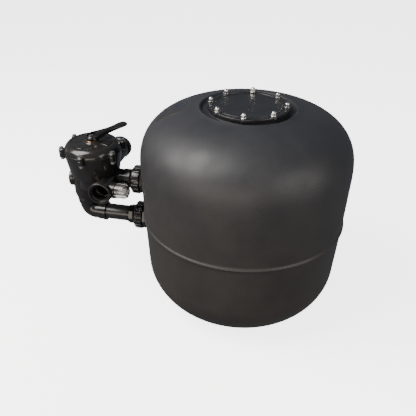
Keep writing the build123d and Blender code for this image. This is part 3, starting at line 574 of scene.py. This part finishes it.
def label_film():
    """A blank label: dark film with soft generic bands."""
    f = Finish("label_film", Specular_IOR_Level=0.5)
    bands = f.noise(16.0, 1.0, stretch=(1, 0.4, 1), turn=(0, 0, 0.7))
    f.colour(f.ramp(
        bands,
        (0.38, (0.012, 0.013, 0.022)),
        (0.47, (0.022, 0.020, 0.026)),
        (0.56, (0.026, 0.021, 0.020)),
        (0.66, (0.016, 0.016, 0.020)),
    ))
    f.roughness(f.spread(f.noise(60.0, 3.0), 0.30, 0.42))
    f.bumps((f.noise(500.0, 2.0), 0.00003))
    return f.material


def studio_floor():
    """A plain pale floor."""
    f = Finish("studio_floor", Specular_IOR_Level=0.2)
    f.colour(f.ramp(f.noise(1.3, 2.0), (0.3, (0.90, 0.90, 0.895)), (0.7, (0.93, 0.93, 0.925))))
    f.roughness(f.spread(f.noise(4.0, 3.0), 0.75, 0.85))
    f.shader.inputs["Emission Color"].default_value = (1.0, 1.0, 1.0, 1)
    f.shader.inputs["Emission Strength"].default_value = 3.6
    return f.material


MATERIALS = {
    "tank_plastic": tank_plastic(),
    "lid_plastic": moulded("lid_plastic", (0.0085, 0.0085, 0.0105), (0.013, 0.0128, 0.014),
                           (0.26, 0.4), 0.00004),
    "valve_plastic": moulded("valve_abs", (0.0125, 0.0118, 0.0112), (0.0175, 0.0162, 0.0152),
                             (0.13, 0.27)),
    "fitting_plastic": moulded("fitting_abs", (0.007, 0.007, 0.007), (0.0105, 0.010, 0.0098),
                               (0.14, 0.28)),
    "pipe_plastic": moulded("pipe_pvc", (0.0135, 0.0132, 0.013), (0.019, 0.0185, 0.018),
                            (0.22, 0.34)),
    "handle_plastic": moulded("handle_nylon", (0.008, 0.0078, 0.0085), (0.012, 0.0115, 0.012),
                              (0.12, 0.24)),
    "inner_plastic": moulded("inner_polypropylene", (0.05, 0.05, 0.05), (0.07, 0.07, 0.068),
                             (0.4, 0.6), 0.00006),
    "seal_rubber": rubber(),
    "stainless": steel(),
    "brass": brass(),
    "clear_plastic": clear_plastic(),
}


def dress_nodes():
    """Gives every CAD node the material of the slot that the record names for it."""
    for part in frame["record"]["subparts"]:
        mesh = frame["nodes"][part["node"]].data
        mesh.materials.clear()
        mesh.materials.append(MATERIALS[part["material_slot"]])


# ---------------------------------------------------------------- tank

def dome_height(radius, wide=SHOULDER_RADIUS, rise=DOME_RISE):
    """Height of the dome at a radius."""
    return SHOULDER_HEIGHT + rise * (1 - (radius / wide) ** DOME_POWER) ** (1 / DOME_POWER)


def wall_radius(height):
    """Outside radius of the straight wall at a height, without the seam."""
    if height < SEAM_HEIGHT:
        low, high = (CORNER_TOP_RADIUS, CORNER_HEIGHT), (SEAM_RADIUS, SEAM_HEIGHT)
    else:
        low, high = (SEAM_RADIUS, SEAM_HEIGHT), (SHOULDER_RADIUS, SHOULDER_HEIGHT)
    share = (height - low[1]) / (high[1] - low[1])
    return low[0] + share * (high[0] - low[0])


def dome_points(end_radius, wide, rise, steps):
    """Dome outline from above the shoulder to the end radius, closer together near the crown."""
    last = sqrt(1 - (end_radius / wide) ** DOME_POWER)
    points = []
    for step in range(1, steps + 1):
        s = last * (step / steps) ** 1.4
        radius = wide * (1 - s * s) ** (1 / DOME_POWER)
        points.append((radius, SHOULDER_HEIGHT + rise * s ** (2 / DOME_POWER)))
    return points


def corner_points(wide, rise, steps):
    """The base corner, a quarter ellipse from the flat base up to the wall."""
    points = []
    for step in range(steps + 1):
        angle = pi / 2 * step / steps
        points.append((BASE_RADIUS + wide * sin(angle), CORNER_HEIGHT - rise * cos(angle)))
    return points


def neck_points():
    """The ridge, the channel and the neck's face with its seal groove."""
    groove_outer, groove_inner, groove_floor = 96.6, 91.4, NECK_TOP - 4.5
    crest = dome_height(DOME_END_RADIUS) + 1.2
    ridge = softened([
        (DOME_END_RADIUS, dome_height(DOME_END_RADIUS), 0),
        (RIDGE_RADIUS + 1.5, crest + 1.6, 6),
        (CHANNEL_RADIUS + 1.5, CHANNEL_HEIGHT + 1, 5),
        (CHANNEL_RADIUS - 3, CHANNEL_HEIGHT, 0),
    ], steps=8)
    neck = softened([
        (NECK_RADIUS + 3, CHANNEL_HEIGHT, 0),
        (NECK_RADIUS, CHANNEL_HEIGHT, 2),
        (NECK_RADIUS, NECK_TOP, 0.8),
        (groove_outer, NECK_TOP, 0),
        (groove_outer, groove_floor, 0),
        (groove_inner, groove_floor, 0),
        (groove_inner, NECK_TOP, 0),
        (NECK_OPENING, NECK_TOP, 1.5),
        (NECK_OPENING, NECK_BOTTOM, 0),
    ])
    return [tuple(p) for p in ridge[1:] + neck]


def tank_profile():
    """The whole closed section of the shell, outside from the base up, then back inside."""
    outer = [(0.0, 0.0)] + corner_points(CORNER_TOP_RADIUS - BASE_RADIUS, CORNER_HEIGHT, 36)
    outer += [(wall_radius(h), h) for h in range(160, 290, 15)]
    foot = SEAM_HALF_WIDTH + 0.6
    seam = softened([
        (wall_radius(SEAM_HEIGHT - 3 * foot), SEAM_HEIGHT - 3 * foot, 0),
        (wall_radius(SEAM_HEIGHT - foot), SEAM_HEIGHT - foot, 2),
        (SEAM_RADIUS + SEAM_STANDS_OUT + 0.7, SEAM_HEIGHT - 1.8, 3.2),
        (SEAM_RADIUS + SEAM_STANDS_OUT - 0.3, SEAM_HEIGHT + 2.2, 2.5),
        (wall_radius(SEAM_HEIGHT + foot), SEAM_HEIGHT + foot, 2),
        (wall_radius(SEAM_HEIGHT + 3 * foot), SEAM_HEIGHT + 3 * foot, 0),
    ], steps=4)
    outer += [tuple(p) for p in seam]
    outer += [(wall_radius(h), h) for h in range(330, 456, 15)]
    outer += dome_points(DOME_END_RADIUS, SHOULDER_RADIUS, DOME_RISE, 60)
    outer += neck_points()
    inner_wide = SHOULDER_RADIUS - WALL
    inner = [(NECK_RADIUS + 4, NECK_BOTTOM), (CHANNEL_RADIUS + 5, CHANNEL_HEIGHT - WALL - 1)]
    inner += list(reversed(dome_points(142.0, inner_wide, DOME_RISE - WALL, 30)))
    inner += [(inner_wide, SHOULDER_HEIGHT), (SEAM_RADIUS - WALL, SEAM_HEIGHT)]
    corner = corner_points(CORNER_TOP_RADIUS - BASE_RADIUS - WALL, CORNER_HEIGHT - FLOOR_THICKNESS, 24)
    inner += list(reversed(corner))
    inner += [(0.0, FLOOR_THICKNESS)]
    return outer + inner


def on_wall(y, z, stands_out):
    """A point on the -X side of the tank's wall, so far out from it."""
    radius = wall_radius(z) + stands_out
    return Vector((-sqrt(radius * radius - y * y), y, z))


def wall_boss(height):
    """The round pad of a wall fitting, with a flared foot that follows the wall."""
    data = bmesh.new()
    segments = 96
    steps = [(10.0, 0.0), (39.5, 0.0), (41.2, -0.5), (BOSS_RADIUS, -1.6)]
    skirt = [(BOSS_RADIUS + 0.6, 1.9), (BOSS_RADIUS + 2.2, 0.9), (BOSS_RADIUS + 5, 0.2),
             (BOSS_RADIUS + 7, -0.8), (BOSS_RADIUS + 4, -5.5), (10.0, -5.5)]
    rings = []
    for radius, drop in steps:
        depth = BOSS_FACE + drop
        rings.append([Vector((-depth, radius * cos(a), height + radius * sin(a)))
                      for a in (2 * pi * i / segments for i in range(segments))])
    for radius, stands_out in skirt:
        rings.append([on_wall(radius * cos(a), height + radius * sin(a), stands_out)
                      for a in (2 * pi * i / segments for i in range(segments))])
    made = [[data.verts.new(p) for p in ring] for ring in rings]
    for first, second in zip(made, made[1:] + made[:1]):
        for step in range(segments):
            after = (step + 1) % segments
            data.faces.new((first[step], second[step], second[after], first[after]))
    return new_object("boss", data)


def tank():
    """The shell with its wall bosses, port bores and insert holes."""
    shell = turned(tank_profile(), segments=288)
    shell = union(shell, *[wall_boss(height) for height in PORT_HEIGHTS.values()])
    bore = THREAD_RADIUS + 0.2
    ports = [
        turned([(0, 250), (bore, 250), (bore, 320), (0, 320)], (0, 0, height), OUTWARD, 64)
        for height in PORT_HEIGHTS.values()
    ]
    inserts = [
        turned([(0, NECK_TOP - 17), (5.5, NECK_TOP - 17), (5.5, NECK_TOP + 5), (0, NECK_TOP + 5)],
               polar(LID_BOLT_RADIUS, angle), UP, 24)
        for angle in LID_BOLT_ANGLES
    ]
    shell = cut(shell, *ports, *inserts)
    finished(shell, "tank_moulding", "filter", MATERIALS["tank_plastic"],
             ["tank_shell"], sharp=40)


def label_skin(raised, border):
    """A panel on the dome above the valve with a soft edge, or only its border strip."""
    middle_angle, middle_radius = 184.0, 213.0
    half_across, half_along, rounding = 46.0, 40.0, 7.0
    thick, edge = 1.1, 2.0
    data = bmesh.new()
    columns, rows = 60, 52
    grid = []
    on_border = {}
    for row in range(rows + 1):
        along = (row / rows * 2 - 1) * half_along
        line = []
        for column in range(columns + 1):
            across = (column / columns * 2 - 1) * half_across
            dx = max(0.0, abs(along) - (half_along - rounding))
            dy = max(0.0, abs(across) - (half_across - rounding))
            outside = sqrt(dx * dx + dy * dy)
            inwards = rounding - outside
            share = min(1.0, max(0.0, inwards / edge))
            lift = thick * share * share * (3 - 2 * share) - 0.4 + min(0.0, inwards) * 0.5 + raised
            radius = middle_radius + along
            angle = middle_angle + across / middle_radius * 180 / pi
            low = dome_height(radius + 0.5)
            high = dome_height(radius - 0.5)
            normal = Vector((high - low, 0, 1)).normalized()
            spot = Vector((radius, 0, dome_height(radius))) + normal * lift
            spot.rotate(Matrix.Rotation(radians(angle), 3, "Z"))
            line.append(data.verts.new(spot))
            on_border[line[-1]] = 0.2 < inwards < 3.2
        grid.append(line)
    for row in range(rows):
        for column in range(columns):
            corners = (grid[row][column], grid[row][column + 1],
                       grid[row + 1][column + 1], grid[row + 1][column])
            if not border or all(on_border[corner] for corner in corners):
                data.faces.new(corners)
    return new_object("label", data)


def shoulder_label():
    """The blank label with its paler border."""
    finished(label_skin(0, False), "shoulder_label", "filter", label_film())
    pale = moulded("label_border", (0.032, 0.032, 0.036), (0.055, 0.054, 0.056), (0.25, 0.4))
    finished(label_skin(0.25, True), "label_border", "filter", pale)


# ---------------------------------------------------------------- lid

LID_PROFILE = [
    (0, NECK_TOP, 0),
    (LID_RADIUS, NECK_TOP, 0.8),
    (LID_RADIUS, LID_TOP, 1.8),
    (110.3, LID_TOP, 0.3),
    (109.9, LID_TOP - 1.5, 0.3),
    (108.3, LID_TOP - 1.5, 0.3),
    (107.9, LID_TOP, 0.3),
    (98.4, LID_TOP, 0.5),
    (97.8, LID_TOP - 1.8, 0.4),
    (95.6, LID_TOP - 1.8, 0.4),
    (95.0, LID_TOP - 0.2, 0.4),
    (91.8, LID_TOP - 0.2, 1.2),
    (89.2, LID_TOP - 2.2, 2.0),
    (60, LID_TOP - 3.2, 20),
    (30, LID_TOP - 3.8, 12),
    (0, LID_TOP - 3.9, 0),
]


def lid_tick(angle):
    """One short bar of the graduations between two bolts."""
    return slab(rounded_box(5.6, 1.3, 0.4), polar(LID_BOLT_RADIUS - 0.2, angle, LID_TOP - 0.4), UP,
                [(0, 0), (0.7, 0), (0.95, 0.25)], side=polar(1, angle))


def lid_ray(angle):
    """A fine raised flow line in the dished part of the lid."""
    return slab(rounded_box(26, 0.9, 0.3), polar(58, angle, LID_TOP - 3.6), UP,
                [(0, 0), (0.55, 0), (0.7, 0.2)], side=polar(1, angle))


def lid():
    """The plate with bolt pads, graduations, flow lines and gate mark."""
    plate = solid(LID_PROFILE, segments=240)
    pads = [
        slab(circle(LID_PAD_RADIUS, count=64), polar(LID_BOLT_RADIUS, a, NECK_TOP), UP,
             [(0, 0), (8.3, 0), (8.9, 0.25), (9.2, 0.9)])
        for a in LID_BOLT_ANGLES
    ]
    plate = union(plate, *pads)
    holes = [
        turned([(0, 600), (4.6, 600), (4.6, 650), (0, 650)], polar(LID_BOLT_RADIUS, a), UP, 32)
        for a in LID_BOLT_ANGLES
    ]
    plate = cut(plate, *holes)
    ticks = [lid_tick(a) for a in range(-124, -96, 3)] + [lid_tick(a) for a in range(54, 84, 4)]
    rays = [lid_ray(a) for a in range(45, 140, 13)]
    gate = turned([(0, LID_TOP - 4.4), (5.2, LID_TOP - 4.4), (5.0, LID_TOP - 3.1),
                   (4.2, LID_TOP - 2.8), (0, LID_TOP - 2.9)], segments=48)
    mark = slab(rounded_box(9, 3.4, 0.8), polar(44, 82, LID_TOP - 4.4), UP,
                [(0, 0), (1.4, 0), (1.7, 0.3)], side=polar(1, 172))
    whole = joined([plate, gate, mark, *ticks, *rays])
    finished(whole, "lid_moulding", "filter", MATERIALS["lid_plastic"], ["tank_lid"])


def lid_fasteners():
    """Cap nuts and flat washers round the lid."""
    nut_low, nut_high = corners_mm("lid_nuts")
    washer_low, washer_high = corners_mm("lid_washers")

    def cap_nut(angle):
        base = polar(LID_BOLT_RADIUS, angle, nut_low.z)
        turn = angle * 3.7
        hexagon = slab(polygon(7.5, 6, 0.5), base, UP,
                       [(0, 0.5), (0.5, 0), (5.7, 0), (6.4, 0.9)], side=polar(1, turn))
        rise = nut_high.z - nut_low.z
        dome = [(0, 5.0), (6.1, 5.0)] + [
            (6.1 * cos(pi / 2 * i / 10), 6.4 + (rise - 6.4) * sin(pi / 2 * i / 10))
            for i in range(10)
        ] + [(0, rise)]
        return union(hexagon, turned(dome, base, UP, 40))

    def washer(angle):
        thick = washer_high.z - washer_low.z
        ring = [(BOLT_HOLE, 0, 0.2), (8.5, 0, 0.3), (8.5, thick, 0.4), (BOLT_HOLE, thick, 0.2)]
        return solid(ring, polar(LID_BOLT_RADIUS, angle, washer_low.z), UP, 48, 3, True)

    finished(copies_round(cap_nut, LID_BOLT_ANGLES), "lid_cap_nuts", "filter",
             MATERIALS["stainless"], ["lid_nuts"])
    finished(copies_round(washer, LID_BOLT_ANGLES), "lid_flat_washers", "filter",
             MATERIALS["stainless"], ["lid_washers"])


# ---------------------------------------------------------------- unions

def union_nut(side):
    """A ribbed nut: rounded ribs all round, a step and a rounded neck towards the valve."""
    height = PORT_HEIGHTS[side]
    low, high = corners_mm(f"{side}_union_nut")
    start, end = -high.x, -low.x
    bore, tail = UNION_THREAD + 0.3, PIPE_RADIUS + 0.6
    lip = end - 7
    profile = [
        (bore, start, 0.6),
        (NUT_RADIUS - 3.5, start, 1.2),
        (NUT_RADIUS - 2.5, start + 23, 1.5),
        (NUT_RADIUS - 8.5, end - 2.5, 2.5),
        (NUT_RADIUS - 11, end, 1.5),
        (tail, end, 0.6),
        (tail, lip, 0),
        (bore, lip, 0),
    ]
    nut = solid(profile, (0, 0, height), OUTWARD, 144, closed=True)
    rib_outline = softened([(-2.6, -6, 0), (2.6, -6, 0), (2.2, 1.9, 2.0), (-2.2, 1.9, 2.0)],
                           steps=6, closed=True)

    def rib(angle):
        turn = radians(angle)
        radial = Vector((0, cos(turn), sin(turn)))
        base = Vector((-start - 1.2, 0, height)) + radial * (NUT_RADIUS - 1.9)
        across = OUTWARD.cross(radial)
        return slab([Vector((p.x, p.y)) for p in rib_outline], base, OUTWARD,
                    [(0, 0.8), (0.8, 0), (20.5, 0), (23, 1.4)], side=-across)

    ribs = [rib(360 / NUT_RIBS * i) for i in range(NUT_RIBS)]
    nut = union(nut, *ribs)
    finished(nut, f"{side}_ribbed_nut", f"{side}_union_nut",
             MATERIALS["fitting_plastic"], [f"{side}_union_nut"])


# ---------------------------------------------------------------- valve

def port_body(mouth, direction, rim_depth, neck_depth):
    """A port seen from its mouth: rounded rim, undercut and neck."""
    return solid([
        (0, 0, 0),
        (PORT_RIM, 0, 2.4),
        (PORT_RIM, rim_depth, 2.0),
        (PORT_NECK, rim_depth + 4, 3.0),
        (PORT_NECK, neck_depth, 0),
        (0, neck_depth, 0),
    ], mouth, -direction)


def port_way(mouth, direction, socket_depth, way):
    """What is cut from a port: counterbore, socket and bore."""
    return solid([
        (0, -3, 0),
        (31.5, -3, 0),
        (29.0, 0.8, 0.8),
        (29.0, 8, 0.8),
        (PORT_SOCKET + 0.6, 8, 0.5),
        (PORT_SOCKET, 9.5, 0.5),
        (PORT_SOCKET, socket_depth, 0.8),
        (PORT_BORE, socket_depth, 1.0),
        (PORT_BORE, way, 0),
        (0, way, 0),
    ], mouth, -direction)


# Each port: its mouth, the way it faces, and how deep its rim, neck, socket and bore go
PORTS = [
    (Vector((-415, -104, 359)), Vector((0, -1, 0)), 17, 90, 34, 80),
    (Vector((-420, 120, 414)), Vector((0, 1, 0)), 17, 84, 34, 86),
]
LEFT_MOUTH = Vector((-546, 0, 352))
LEFT_RIM = 29.0
GLASS_FACE = 374.0
# Upright ways from the ports into the chamber: radius and place
RISERS = [(12.0, (-431.7, -39.1)), (15.0, (-424.0, 0.0)), (9.0, (-514.0, 29.0))]


def lug(angle, low, high, stem):
    """A bolt lug: a rounded column tied to the wall."""
    outline = softened([
        (-stem, -LUG_SIZE, 0),
        (LUG_SIZE, -LUG_SIZE, LUG_SIZE),
        (LUG_SIZE, LUG_SIZE, LUG_SIZE),
        (-stem, LUG_SIZE, 0),
    ], steps=10, closed=True)
    base = polar(LUG_RADIUS, angle, 0, VALVE_AXIS)
    return slab(outline, base, UP, [(low, 0.7), (low + 0.7, 0), (high - 0.7, 0), (high, 0.7)],
                side=polar(1, angle))


def valve_outside(glass):
    """The bowl with everything that stands out of it."""
    bowl = solid([
        (0, CORE_FLOOR, 0),
        (CORE_RADIUS, CORE_FLOOR, 3),
        (CORE_RADIUS, BODY_FLOOR, 2),
        (71, BODY_FLOOR, 1),
        (74.4, BODY_FLOOR + 3, 3),
        (87.4, BODY_TOP - 3, 1),
        (87.4, BODY_TOP, 1.2),
        (0, BODY_TOP, 0),
    ], VALVE_AXIS, UP, 192)
    spigot_radius = 24.4
    collar = DROP_JOINT + 0.4
    drop = solid([
        (0, DROP_JOINT - SPIGOT_DEPTH, 0),
        (spigot_radius, DROP_JOINT - SPIGOT_DEPTH, 1),
        (spigot_radius, collar, 0),
        (32.2, collar, 1.2),
        (DROP_RADIUS - 1.3, 298, 4),
        (DROP_RADIUS, 306, 4),
        (DROP_RADIUS, BODY_FLOOR + 3, 0),
        (0, BODY_FLOOR + 3, 0),
    ], (DROP_X, 0, 0), UP, 128)
    boss_radius = 24.5
    boss_end = 405
    boss = solid([
        (0, GLASS_FACE, 0),
        (boss_radius, GLASS_FACE, 1.6),
        (boss_radius, boss_end, 0),
        (0, boss_end, 0),
    ], (0, glass.y, glass.z), OUTWARD)
    stub_end = STUB_FACE - 19
    stub_inside = STUB_FACE + 46
    stub = solid([
        (0, stub_end, 0),
        (PIPE_RADIUS - 0.2, stub_end, 1),
        (PIPE_RADIUS - 0.2, STUB_FACE, 0),
        (STUB_RADIUS, STUB_FACE, 1.2),
        (STUB_RADIUS, stub_inside, 0),
        (0, stub_inside, 0),
    ], (0, 0, PORT_HEIGHTS["upper"]), OUTWARD)
    left = solid([
        (0, 0, 0),
        (LEFT_RIM, 0, 1.4),
        (LEFT_RIM, 12, 1.5),
        (LEFT_RIM - 2, 15, 2),
        (LEFT_RIM - 2, 36, 0),
        (0, 36, 0),
    ], LEFT_MOUTH, FORWARD)
    chimney = solid([
        (0, 336, 0),
        (14, 336, 2),
        (14, BODY_FLOOR + 3, 0),
        (0, BODY_FLOOR + 3, 0),
    ], (*RISERS[2][1], 0), UP, 64)
    ports = [port_body(mouth, out, rim, neck) for mouth, out, rim, neck, socket, way in PORTS]
    lugs = [lug(angle, BODY_TOP - LUG_DROP, BODY_TOP, 12) for angle in LUG_ANGLES]
    return union(bowl, drop, boss, stub, left, chimney, *ports, *lugs)


def drill(radius, start, end, origin, axis=UP, segments=64):
    """A plain round tool between two distances along its axis."""
    return turned([(0, start), (radius, start), (radius, end), (0, end)], origin, axis, segments)


def bolt_way(angle, start, end):
    """The hole for one of the valve's bolts."""
    return drill(BOLT_HOLE, start, end, polar(LUG_RADIUS, angle, 0, VALVE_AXIS), UP, 24)


def valve_body():
    """The casting: its outside, less the chamber and the ways through it."""
    glass = middle_mm("sight_glass")
    body = valve_outside(glass)
    chamber = turned([
        (0, CHAMBER_FLOOR),
        (SEAT_RADIUS - 2, CHAMBER_FLOOR),
        (SEAT_RADIUS, SEAT_HEIGHT),
        (CHAMBER_RADIUS, SEAT_HEIGHT),
        (CHAMBER_RADIUS, BODY_TOP + 1),
        (0, BODY_TOP + 1),
    ], VALVE_AXIS, UP, 128)
    ways = [port_way(mouth, out, socket, way) for mouth, out, rim, neck, socket, way in PORTS]
    ways.append(turned([
        (0, -3),
        (LEFT_RIM - 0.6, -3),
        (PORT_SOCKET, 1.4),
        (PORT_SOCKET, 19),
        (0, 19),
    ], LEFT_MOUTH, FORWARD, 96))
    seat = GLASS_FACE + 8.5
    ways.append(turned([
        (0, GLASS_FACE - 1),
        (18, GLASS_FACE - 1),
        (18, seat),
        (14, seat),
        (14, 410),
        (0, 410),
    ], (0, glass.y, glass.z), OUTWARD, 64))
    ways.append(drill(FITTING_BORE, 350, 432, (0, 0, PORT_HEIGHTS["upper"]), OUTWARD))
    ways.append(drill(FITTING_BORE, 260, CHAMBER_FLOOR + 1, (DROP_X, 0, 0)))
    for radius, place in RISERS:
        ways.append(drill(radius, LEFT_MOUTH.z, CHAMBER_FLOOR + 1, (*place, 0), UP, 48))
    ways += [bolt_way(angle, 430, 470) for angle in LUG_ANGLES]
    body = cut(body, *ways)
    body = cut(body, chamber)
    finished(body, "valve_casting", "filter", MATERIALS["valve_plastic"],
             ["valve_body"])


def label_plate(angle):
    """One of the six raised fields round the dial."""
    inner, outer, half = 34.0, 60.0, 21.0
    steps = 10
    outline = [Vector((inner * cos(radians(half * t)), inner * sin(radians(half * t))))
               for t in (1 - 2 * i / steps for i in range(steps + 1))]
    outline += [Vector((outer * cos(radians(half * t)), outer * sin(radians(half * t))))
                for t in (-1 + 2 * i / steps for i in range(steps + 1))]
    corners = [(p.x, p.y, 2.0) for p in outline]
    return slab(softened(corners, steps=2, closed=True), polar(0, 0, COVER_TOP - 3, VALVE_AXIS), UP,
                [(0, 0), (2.0, 0), (2.5, 0.45)], side=polar(1, angle))


def number(text, angle, height):
    """A raised numeral that reads from outside the dial."""
    curve = bpy.data.curves.new("number", "FONT")
    curve.body = text
    curve.size = 13.0
    curve.extrude = 0.45
    curve.align_x = "CENTER"
    curve.align_y = "CENTER"
    holder = bpy.data.objects.new("number", curve)
    bpy.context.scene.collection.objects.link(holder)
    graph = bpy.context.evaluated_depsgraph_get()
    mesh = bpy.data.meshes.new_from_object(holder.evaluated_get(graph))
    remove(holder)
    mesh.transform(
        Matrix.Translation(polar(48, angle, height, VALVE_AXIS))
        @ Matrix.Rotation(radians(angle + 90), 4, "Z")
    )
    made = bpy.data.objects.new("number", mesh)
    bpy.context.scene.collection.objects.link(made)
    return made


def valve_cover():
    """The cover with its lugs, dial fields and numbers."""
    cover = solid([
        (9.0, 462, 0),
        (16, 462, 0),
        (16, COVER_CEILING, 0),
        (63, COVER_CEILING, 0),
        (74, 464, 0),
        (76.5, BODY_TOP + 0.1, 0),
        (85.4, BODY_TOP + 0.1, 1.2),
        (84.6, BODY_TOP + 5, 3),
        (79.6, BODY_TOP + 14.2, 8),
        (72.0, COVER_TOP - 1.2, 6),
        (66.0, COVER_TOP, 1.2),
        (64.6, COVER_TOP, 0.8),
        (62.6, COVER_TOP - 2, 0.8),
        (26.5, COVER_TOP - 1.2, 2),
        (24, COVER_TOP + 0.5, 1.5),
        (21.5, COVER_TOP + 3, 1.6),
        (9.0, COVER_TOP + 3, 0.5),
    ], VALVE_AXIS, UP, 192, 6, True)
    lugs = [lug(angle, BODY_TOP + 0.1, BODY_TOP + 9, 15) for angle in LUG_ANGLES]
    plates = [label_plate(360 / LUG_COUNT * i) for i in range(LUG_COUNT)]
    cover = union(cover, *lugs, *plates)
    cover = cut(cover, *[bolt_way(angle, 450, 475) for angle in LUG_ANGLES])
    finished(cover, "valve_cover", "filter", MATERIALS["valve_plastic"],
             ["valve_lid"])
    numbers = joined([number(str(i + 1), 360 / LUG_COUNT * i, COVER_TOP - 0.4)
                      for i in range(LUG_COUNT)])
    finished(numbers, "dial_numbers", "filter", MATERIALS["valve_plastic"])


def lever():
    """The handle: a forked root with a raised back, a necked shaft and a paddle."""
    out = polar(1, HANDLE_AZIMUTH)
    across = polar(1, HANDLE_AZIMUTH + 90)
    pin = middle_mm("handle_pin")
    stations = [
        (-17.2, 8.0, 3.4, 491.5, 2.4),
        (-16.2, 12.4, 5.2, 491.8, 2.6),
        (-13.0, 16.4, 7.0, 492.6, 3.0),
        (-7.0, 18.8, 8.6, 493.4, 3.2),
        (2.0, 19.6, 9.6, 494.2, 3.2),
        (12.0, 19.2, 10.0, 494.8, 3.0),
        (21.0, 17.6, 10.0, 495.4, 2.8),
        (30.0, 15.2, 9.6, 496.4, 2.6),
        (42.0, 12.2, 9.0, 498.0, 2.5),
        (54.0, 10.0, 8.4, 499.2, 2.5),
        (68.0, 9.6, 7.8, 501.0, 2.4),
        (84.0, 12.0, 7.2, 503.6, 2.3),
        (98.0, 15.0, 6.9, 505.6, 2.2),
        (108.0, 15.8, 6.5, 506.6, 2.2),
        (115.0, 14.2, 5.8, 507.0, 2.1),
        (119.6, 9.6, 4.4, 507.0, 2.1),
        (121.4, 5.0, 2.8, 507.0, 2.1),
    ]
    skin = lofted([
        (Vector((pin.x, pin.y, level)) + out * distance, across, UP, wide, high, power)
        for distance, wide, high, level, power in stations
    ])
    smooth = skin.modifiers.new("smooth", "SUBSURF")
    smooth.levels = smooth.render_levels = 1
    skin = combined(skin, [], "UNION")
    flat = slab(rounded_box(150, 70, 2, (30, 0)), Vector((pin.x, pin.y, pin.z - 30)), UP,
                [(0, 0), (24, 0)], side=out)
    slot_tool = slab(rounded_box(27, 18.7, 4), Vector((pin.x, pin.y, pin.z - 20)), UP,
                     [(0, 0), (50, 0)], side=out)
    pin_tool = drill(4.0, -30, 30, pin, across, 32)
    skin = cut(skin, flat, slot_tool, pin_tool)
    finished(skin, "lever", "handle", MATERIALS["handle_plastic"], ["handle"],
             sharp=38)


def rotor_spring():
    """The coil between rotor and cover, made once to fill the CAD spring's box; the real spring
    shortens as the rotor lifts.
    """
    low, high = corners_mm("rotor_spring")
    wire = 1.6
    coil_radius = 24.0
    turns = 3.5
    steps = 98
    sections = []
    for step in range(steps + 1):
        share = step / steps
        angle = 360 * turns * share
        height = low.z + wire + (high.z - low.z - 2 * wire) * share
        sections.append((polar(coil_radius, angle, height, VALVE_AXIS), polar(1, angle), UP,
                         wire, wire, 2.0))
    coil = finished(lofted(sections), "rotor_coil", "filter", MATERIALS["stainless"],
                    ["rotor_spring"])
    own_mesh(coil)


# ---------------------------------------------------------------- camera, light and floor

def camera():
    """The camera stands in front, to the right, and looks down on the tank."""
    place = Vector((0.1275, -1.2474, 1.0860))
    forward = Vector((-0.15685, 0.83188, -0.53237)).normalized()
    roll = 0.011
    level = forward.cross(UP).normalized()
    upright = level.cross(forward)
    right = level * cos(roll) + upright * sin(roll)
    above = upright * cos(roll) - level * sin(roll)
    turn = Matrix((right, above, -forward)).transposed()
    data = bpy.data.cameras.new("camera")
    data.lens = 41.84
    data.sensor_width = 36
    made = bpy.data.objects.new("camera", data)
    made.matrix_world = Matrix.Translation(place) @ turn.to_4x4()
    bpy.context.scene.collection.objects.link(made)
    bpy.context.scene.camera = made


def softbox(name, place, aim, size, power, colour=(1, 1, 1)):
    """A rectangular area light aimed at a point."""
    data = bpy.data.lights.new(name, "AREA")
    data.shape = "RECTANGLE"
    data.size, data.size_y = size
    data.energy = power
    data.color = colour
    made = bpy.data.objects.new(name, data)
    direction = Vector(aim) - Vector(place)
    made.rotation_euler = direction.to_track_quat("-Z", "Y").to_euler()
    made.location = place
    bpy.context.scene.collection.objects.link(made)


def studio():
    """The floor, three soft lights and a dim sky."""
    data = bmesh.new()
    reach = 14.0
    divisions = 8
    bmesh.ops.create_grid(data, x_segments=divisions, y_segments=divisions, size=reach)
    floor = new_object("floor", data)
    floor.data.materials.append(studio_floor())
    floor.visible_glossy = False
    floor.visible_diffuse = False
    softbox("key", (-1.75, -0.9, 2.4), (0, 0, 0.45), (1.7, 2.2), 165, (1.0, 0.965, 0.92))
    softbox("fill", (2.5, -1.5, 1.3), (0, 0, 0.35), (1.8, 2.2), 52, (1.0, 0.94, 0.88))
    softbox("low", (-0.7, -2.6, 0.4), (0, 0, 0.2), (3.6, 0.8), 44, (1.0, 0.88, 0.76))
    world = bpy.data.worlds.new("studio")
    world.use_nodes = True
    sky = world.node_tree.nodes["Background"]
    sky.inputs["Color"].default_value = (0.80, 0.88, 1.0, 1)
    sky.inputs["Strength"].default_value = 0.22
    bpy.context.scene.world = world


dress_nodes()
tank()
shoulder_label()
lid()
lid_fasteners()
for side in PORT_HEIGHTS:
    union_nut(side)
valve_body()
valve_cover()
lever()
rotor_spring()
camera()
studio()
